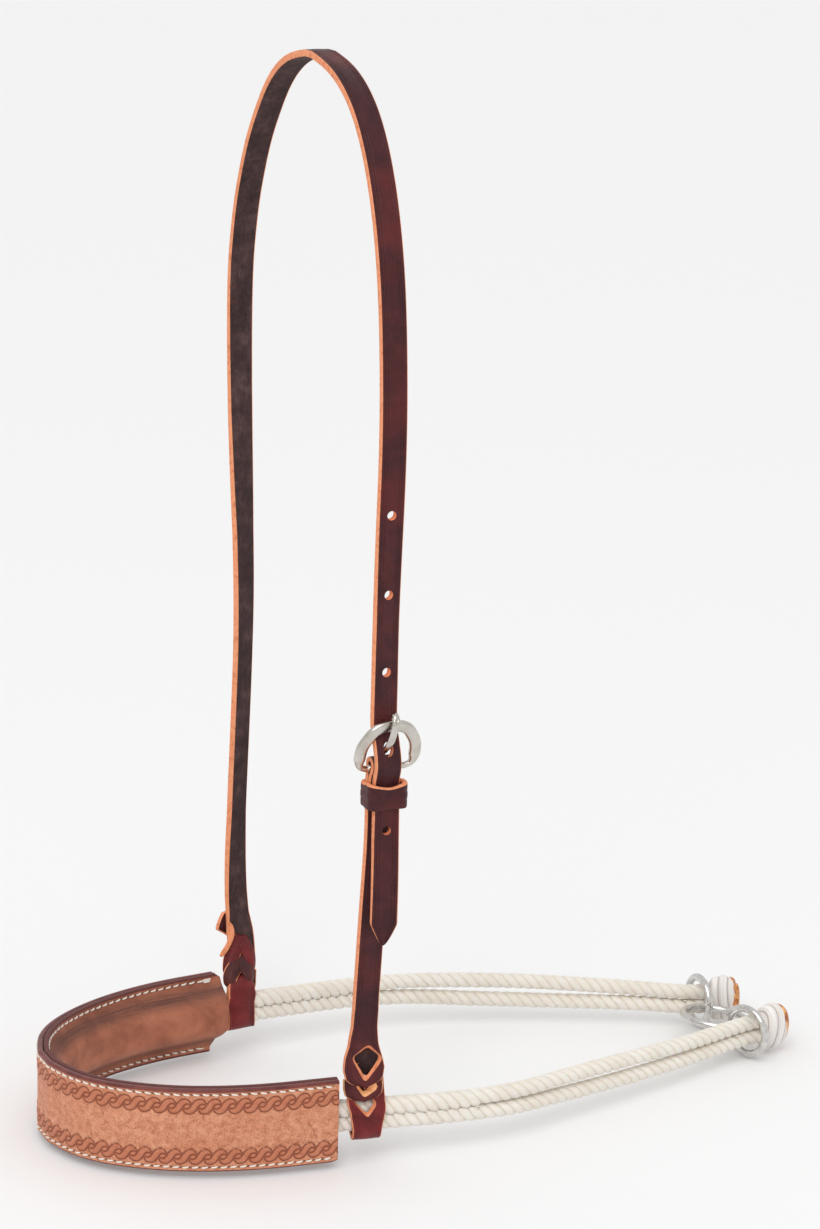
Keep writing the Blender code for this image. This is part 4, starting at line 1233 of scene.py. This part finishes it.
# One repeat of the stamped rope border, in units of its own pitch, as (along, up) from the row's middle
STAMP_PITCH = 0.0072
STAMP = ((0.0, 0.22), (0.11, 0.44), (0.37, 0.53), (0.67, 0.44), (0.85, 0.26), (1.0, 0.0), (1.22, -0.18),
         (1.44, -0.11))
STAMP_TURNED = tuple((1.47 - x, -z) for x, z in STAMP)


def from_stamp(places, heights, middle):
    """Distance from each place on the face to the nearest line of a stamped rope."""
    x, z = np.broadcast_arrays((places / STAMP_PITCH) % 1.0, (heights - middle) / STAMP_PITCH)
    best = np.ones(x.shape)
    for stamp in (STAMP, STAMP_TURNED):
        curve = smooth_route(stamp, 0.1)
        for (x0, z0), (x1, z1) in zip(curve[:-1], curve[1:]):
            dx, dz = x1 - x0, z1 - z0
            for repeat in (-2, -1, 0, 1, 2):
                share = np.clip(((x - x0 - repeat) * dx + (z - z0) * dz) / (dx * dx + dz * dz), 0.0, 1.0)
                best = np.minimum(best, np.hypot(x - x0 - repeat - share * dx, z - z0 - share * dz))
    return best * STAMP_PITCH


def inside_rope(places, heights, middle):
    """1 within the stamped rope's scalloped outline, 0 outside, with a soft edge."""
    soft = 0.0002
    turn = 2.0 * math.pi * places / STAMP_PITCH
    top = middle + STAMP_PITCH * (0.43 + 0.11 * np.cos(turn - 2.0 * math.pi * 0.37))
    foot = middle - STAMP_PITCH * (0.43 + 0.11 * np.cos(turn - 2.0 * math.pi * 1.10))
    above_foot = step_up(heights, foot - soft, foot + soft)
    return above_foot * (1.0 - step_up(heights, top - soft, top + soft))


# The seam rows, above and below the cover's middle, and where each of their stitches starts
SEAM_LEVEL = 0.0185
COVER_TOTAL = COVER_REACH[-1]
STITCH_PLACES = np.arange(0.0035, COVER_TOTAL - 0.0125, STITCH_PITCH)


def seam_marks(along, level, front, ends, hole, width):
    """The sunk seam, and the holes that lie at ends from each stitch's start, as 0 to 1."""
    from_row = np.abs(level) - SEAM_LEVEL
    # holes sets the dents of the stitch holes and the painted shade in them
    holes = np.zeros(level.shape)
    for place in STITCH_PLACES:
        for end in ends:
            near_hole = np.exp(-(((along - (place + end)) / hole) ** 2) - (from_row / hole) ** 2)
            holes = np.maximum(holes, near_hole * front)
    return np.exp(-((from_row / width) ** 2)) * front, holes


# How far the covering is cut back at its far end, by height
CUT_LEVELS = (-0.0210, -0.0150, -0.0115, -0.0070, 0.0150, 0.0190, 0.0210)
CUT_BACK = (-0.0082, -0.0074, -0.0040, -0.0022, -0.0020, -0.0026, -0.0052)


def nose_cover():
    """The roughout cover: stamped border rows, burnished shoulders and a sunk seam."""
    half = COVER_HALF
    fine = 0.00028
    places = np.linspace(0.0, COVER_TOTAL, int(COVER_TOTAL / 0.00036))
    # The face's heights lie closest together where the borders are stamped
    heights = np.concatenate([
        np.linspace(-half + 0.0012, -0.0170, 10), np.arange(-0.0167, -0.0098, fine),
        np.linspace(-0.0093, 0.0084, 16), np.arange(0.0088, 0.0164, fine),
        np.linspace(0.0168, half - 0.0012, 10)])
    face = np.stack([np.full(len(heights), 0.0073), heights], axis=1)
    shoulder = []
    for angle in (20, 45, 70, 88):
        turn = math.radians(angle)
        shoulder.append((0.0061 + 0.0012 * math.cos(turn), half - 0.0012 + 0.0012 * math.sin(turn)))
    rear = [(0.0054, half), (0.0047, half - 0.0001), (0.0046, half - 0.0006), (0.0046, 0.0120)]
    rear += [(0.0046, 0.0)] + [(o, -z) for o, z in reversed(rear)]
    section = np.concatenate([face, shoulder, rear, [(o, -z) for o, z in reversed(shoulder)]])
    along, level = np.broadcast_arrays(places[:, None], section[:, 1])
    front = np.arange(len(section)) < len(heights)

    # The near end's lower corner is rounded, and both ends run a little aslant
    near_round = np.clip(along, 0.0, 0.006)
    corner = 0.006 - np.sqrt(np.clip(0.006**2 - (0.006 - near_round) ** 2, 0.0, None))
    low = -half + corner * 0.8
    level = np.where(level < -0.013, -0.013 + (level + 0.013) * (low + 0.013) / (-half + 0.013), level)
    near_push = np.interp(level, (-half, half), (0.0022, 0.0010))
    along = along - near_push * (1.0 - step_up(along, 0.0, 0.030))
    far_cut = np.interp(level, CUT_LEVELS, CUT_BACK)
    along = along + far_cut * (1.0 - step_up(COVER_TOTAL - along, 0.0, 0.030))

    middle = np.where(level > 0.0, 0.0126, -0.0132)
    stamped = along + np.where(level > 0.0, 0.0, 0.0031)
    away = from_stamp(stamped, level, middle)
    inside = inside_rope(stamped, level, middle) * front
    # groove sinks the stamped lines and darkens them: pressed leather plus painted shade
    groove = np.exp(-((away / 0.00034) ** 2)) * front * (np.abs(level) > 0.007) * (np.abs(level) < 0.0176)
    plump = inside * np.clip(away / 0.0014, 0.0, 1.0) * 0.00030
    seam, holes = seam_marks(along, level, front, (-0.0004, 0.0034), 0.00042, 0.0006)
    ripple = 0.00018 * np.sin(along * 61.0 + 3.0 * np.sin(along * 17.0)) * (np.abs(level) < 0.0088) * front
    pressed = 0.00050 * groove + 0.00028 * seam + 0.0005 * holes + 0.0001 * inside
    rings = on_cover(along, section[:, 0] - pressed + plump + ripple, level)
    burnish = np.where(front, step_up(np.where(level < 0.0, -level - 0.0009, level), 0.0192, 0.0199), 1.0)
    marks = {"groove": np.clip(groove * 0.95, 0.0, 1.0), "pressed": inside, "burnish": burnish, "hole": holes}
    thing = swept("roughout_cover", rings, [ROUGHOUT], along=places, marks=marks)
    return ready(thing, "noseband", "roughout", "nose_cover")


def nose_lining():
    """The lining, stitched behind the cover round the ropes, with a rounded far end."""
    half = COVER_HALF
    levels = np.array([-half, -0.0185, -0.0160, -0.0135, -0.0105, -0.0065, 0.0])
    levels = np.concatenate([levels, -levels[-2::-1]])
    bulge = step_up(0.0170 - np.abs(levels), 0.0, 0.0105)
    head = smooth_route(np.stack([0.0017 - 0.0085 * bulge, levels], axis=1), 0.0007)
    across = headings(head)
    rope_face = head + np.stack([across[:, 1], -across[:, 0]], axis=1) * 0.0025
    rope_face = rope_face[::5][::-1]
    section = np.concatenate([head, [(0.0022, half), (0.0032, half + 0.0001), (0.0042, half)],
                              rope_face[1:-1],
                              [(0.0042, -half), (0.0032, -half - 0.0001), (0.0022, -half)]])
    places = np.linspace(0.0, COVER_TOTAL, 420)
    along, level = np.broadcast_arrays(places[:, None], section[:, 1])
    pull = np.interp(level, CUT_LEVELS, CUT_BACK) + 0.0004
    along = along + pull * (1.0 - step_up(COVER_TOTAL - along, 0.0, 0.030))
    inner = np.arange(len(section)) < len(head)
    slack = 0.0005 * np.sin(along * 48.0 + level * 90.0) * np.sin(along * 21.0)
    # Finer wrinkles where the lining bends most, at the middle of the nose
    bend = np.exp(-(((along - COVER_TOTAL * 0.47) / 0.018) ** 2))
    wrinkle = 0.00035 * np.sin(along * 900.0 + level * 420.0) * bend
    calm = (1.0 - step_up(np.abs(level), 0.013, 0.018)) * inner
    seam, holes = seam_marks(along, level, inner, (-0.0003, 0.0033), 0.0006, 0.0007)
    rings = on_cover(along, section[:, 0] + (slack + wrinkle) * calm + 0.0003 * seam, level)
    upper_rub = np.exp(-(((level - 0.0130) / 0.0034) ** 2))
    lower_rub = 0.8 * np.exp(-(((level + 0.0145) / 0.0030) ** 2))
    burnish = np.where(inner, step_up(np.abs(level), 0.0196, 0.0203), 1.0)
    marks = {"rubbed": np.maximum(upper_rub, lower_rub) * inner, "burnish": burnish, "hole": holes}
    thing = swept("lining_piece", rings, [LINING], along=places, marks=marks)
    return ready(thing, "noseband", "lining", "nose_lining")


def cover_stitches():
    """The seam's visible rows: short slanted stitches whose ends dive into their holes."""
    shares = np.linspace(0.0, 1.0, 9)
    radii = 0.00044 * (0.75 + 0.25 * np.sin(math.pi * shares))
    rise = np.sin(math.pi * shares) ** 0.6 * 0.00075 - 0.00045
    for edge, level in (("top", 1.0), ("bottom", -1.0)):
        slant = 0.00028 * level
        for face, base, hand in (("outer", 0.0071, 1.0), ("inner", 0.0018, -1.0)):
            parts = []
            for place in STITCH_PLACES:
                span = 0.0030 + 0.0002 * random.random()
                if place + STITCH_PITCH > COVER_TOTAL - 0.0145:
                    span += 0.0012
                sway = (shares - 0.5) * 2.0 * slant + 0.00008 * random.uniform(-1.0, 1.0)
                spots = on_cover(place + shares * span, base + hand * rise, level * SEAM_LEVEL + sway)
                parts.append(tube_rings(spots, radii, 10))
            if face == "inner" and edge == "top":
                parts += back_stitches(base)
            thing = merged(f"cover_stitches_{edge}_{face}", parts, [THREAD])
            ready(thing, "noseband", "thread", f"cover_thread_{edge}_{face}")


def back_stitches(base):
    """Three stitches sewn one over the other, where the seam inside ends."""
    shares = np.linspace(0.0, 1.0, 7)
    depths = base - 0.0004 * np.sin(shares * math.pi) - 0.0001
    parts = []
    for extra in range(3):
        places = COVER_TOTAL - 0.0118 + 0.0034 * shares + 0.0002 * extra
        parts.append(tube_rings(on_cover(places, depths, 0.0178 + 0.0006 * extra), 0.00046, 10))
    return parts


# ---------------------------------------------------------------- assembly


crown_strap()
cheek_strap()
rope_loop("near")
rope_loop("far")
far_tail_tip()
far_slit_lip()
keeper()
buckle()
buckle_tongue()
rope("rope_upper", 1)
rope("rope_lower", -1)
rope_seams()
rope_end_stitches()
knot("near_knot", (0.2505, -0.0238, -0.0098), (8.5, 0.9, 0.0), 0.6, 0.0116)
knot("far_knot", (0.2453, 0.0218, -0.0096), (13.1, -2.0, 0.0), 2.0, 0.0098)
for end, centre, normal in (("near", (0.24287, -0.02565, -0.00959), heading_from(20.8, 1.6)),
                            ("far", (0.24040, 0.02125, -0.00957), heading_from(-2.3, -1.2))):
    ring(f"{end}_ring_wire", f"{end}_ring", f"{end}_rope_ring", centre, normal, 0.01225)
TILT, ROLL = math.radians(7.0), math.radians(2.4)
ring("tie_ring_wire", "tie_ring_body", "tie_ring", (0.23701, -0.00255, -0.00992),
     (math.sin(TILT) * math.cos(ROLL), math.sin(ROLL), math.cos(TILT) * math.cos(ROLL)), 0.0166)
nose_cover()
nose_lining()
cover_stitches()


# ---------------------------------------------------------------- floor, light and camera


def floor():
    """A pale seamless floor just under the noseband."""
    low = CAD_BOX[0][2] - 0.0012
    size = 14.0
    mesh = bpy.data.meshes.new("floor")
    mesh.from_pydata([(-size, -size, low), (size, -size, low), (size, size, low), (-size, size, low)], [],
                     [(0, 1, 2, 3)])
    paint = Paint("pale_floor", rough=0.95, specular=0.1)
    paint.shader.inputs["Base Color"].default_value = (0.90, 0.90, 0.90, 1.0)
    mesh.materials.append(paint.material)
    thing = bpy.data.objects.new("floor", mesh)
    bpy.context.scene.collection.objects.link(thing)


def key_lamp():
    """A soft lamp above and to the near side of the nose."""
    data = bpy.data.lights.new("key", "AREA")
    data.shape = "RECTANGLE"
    data.size = 0.5
    data.size_y = 0.9
    data.energy = 5.0
    thing = bpy.data.objects.new("key", data)
    thing.location = (-0.9, -1.3, 0.9)
    target = Vector((0.05, 0.0, -0.3))
    thing.rotation_euler = (target - thing.location).to_track_quat("-Z", "Y").to_euler()
    bpy.context.scene.collection.objects.link(thing)


floor()
world = bpy.data.worlds.new("studio")
world.use_nodes = True
world.node_tree.nodes["Background"].inputs["Color"].default_value = (1.0, 1.0, 1.0, 1.0)
world.node_tree.nodes["Background"].inputs["Strength"].default_value = 0.80
bpy.context.scene.world = world
key_lamp()
sun = bpy.data.lights.new("sun", "SUN")
sun.energy = 0.75
sun.angle = math.radians(50.0)
sunlight = bpy.data.objects.new("sun", sun)
sunlight.rotation_euler = Vector((0.45, 0.55, -1.0)).to_track_quat("-Z", "Y").to_euler()
bpy.context.scene.collection.objects.link(sunlight)

AZIMUTH, ELEVATION, CAMERA_ROLL = math.radians(-24.815), math.radians(15.252), math.radians(1.716)
back = Vector((math.sin(AZIMUTH) * math.cos(ELEVATION), -math.cos(AZIMUTH) * math.cos(ELEVATION),
               math.sin(ELEVATION)))
right = (-back).cross(Vector((0.0, 0.0, 1.0))).normalized()
upward = right.cross(-back)
turned_right = right * math.cos(CAMERA_ROLL) + upward * math.sin(CAMERA_ROLL)
turned_up = upward * math.cos(CAMERA_ROLL) - right * math.sin(CAMERA_ROLL)
lens = bpy.data.cameras.new("camera")
lens.lens = 100.17
lens.sensor_fit = "AUTO"
lens.sensor_width = 36.0
camera = bpy.data.objects.new("camera", lens)
axes = Matrix((turned_right, turned_up, back)).transposed().to_4x4()
camera.matrix_world = Matrix.Translation((-0.6218, -1.4619, 0.1680)) @ axes
bpy.context.scene.collection.objects.link(camera)
bpy.context.scene.camera = camera
bpy.context.scene.view_settings.view_transform = "Standard"
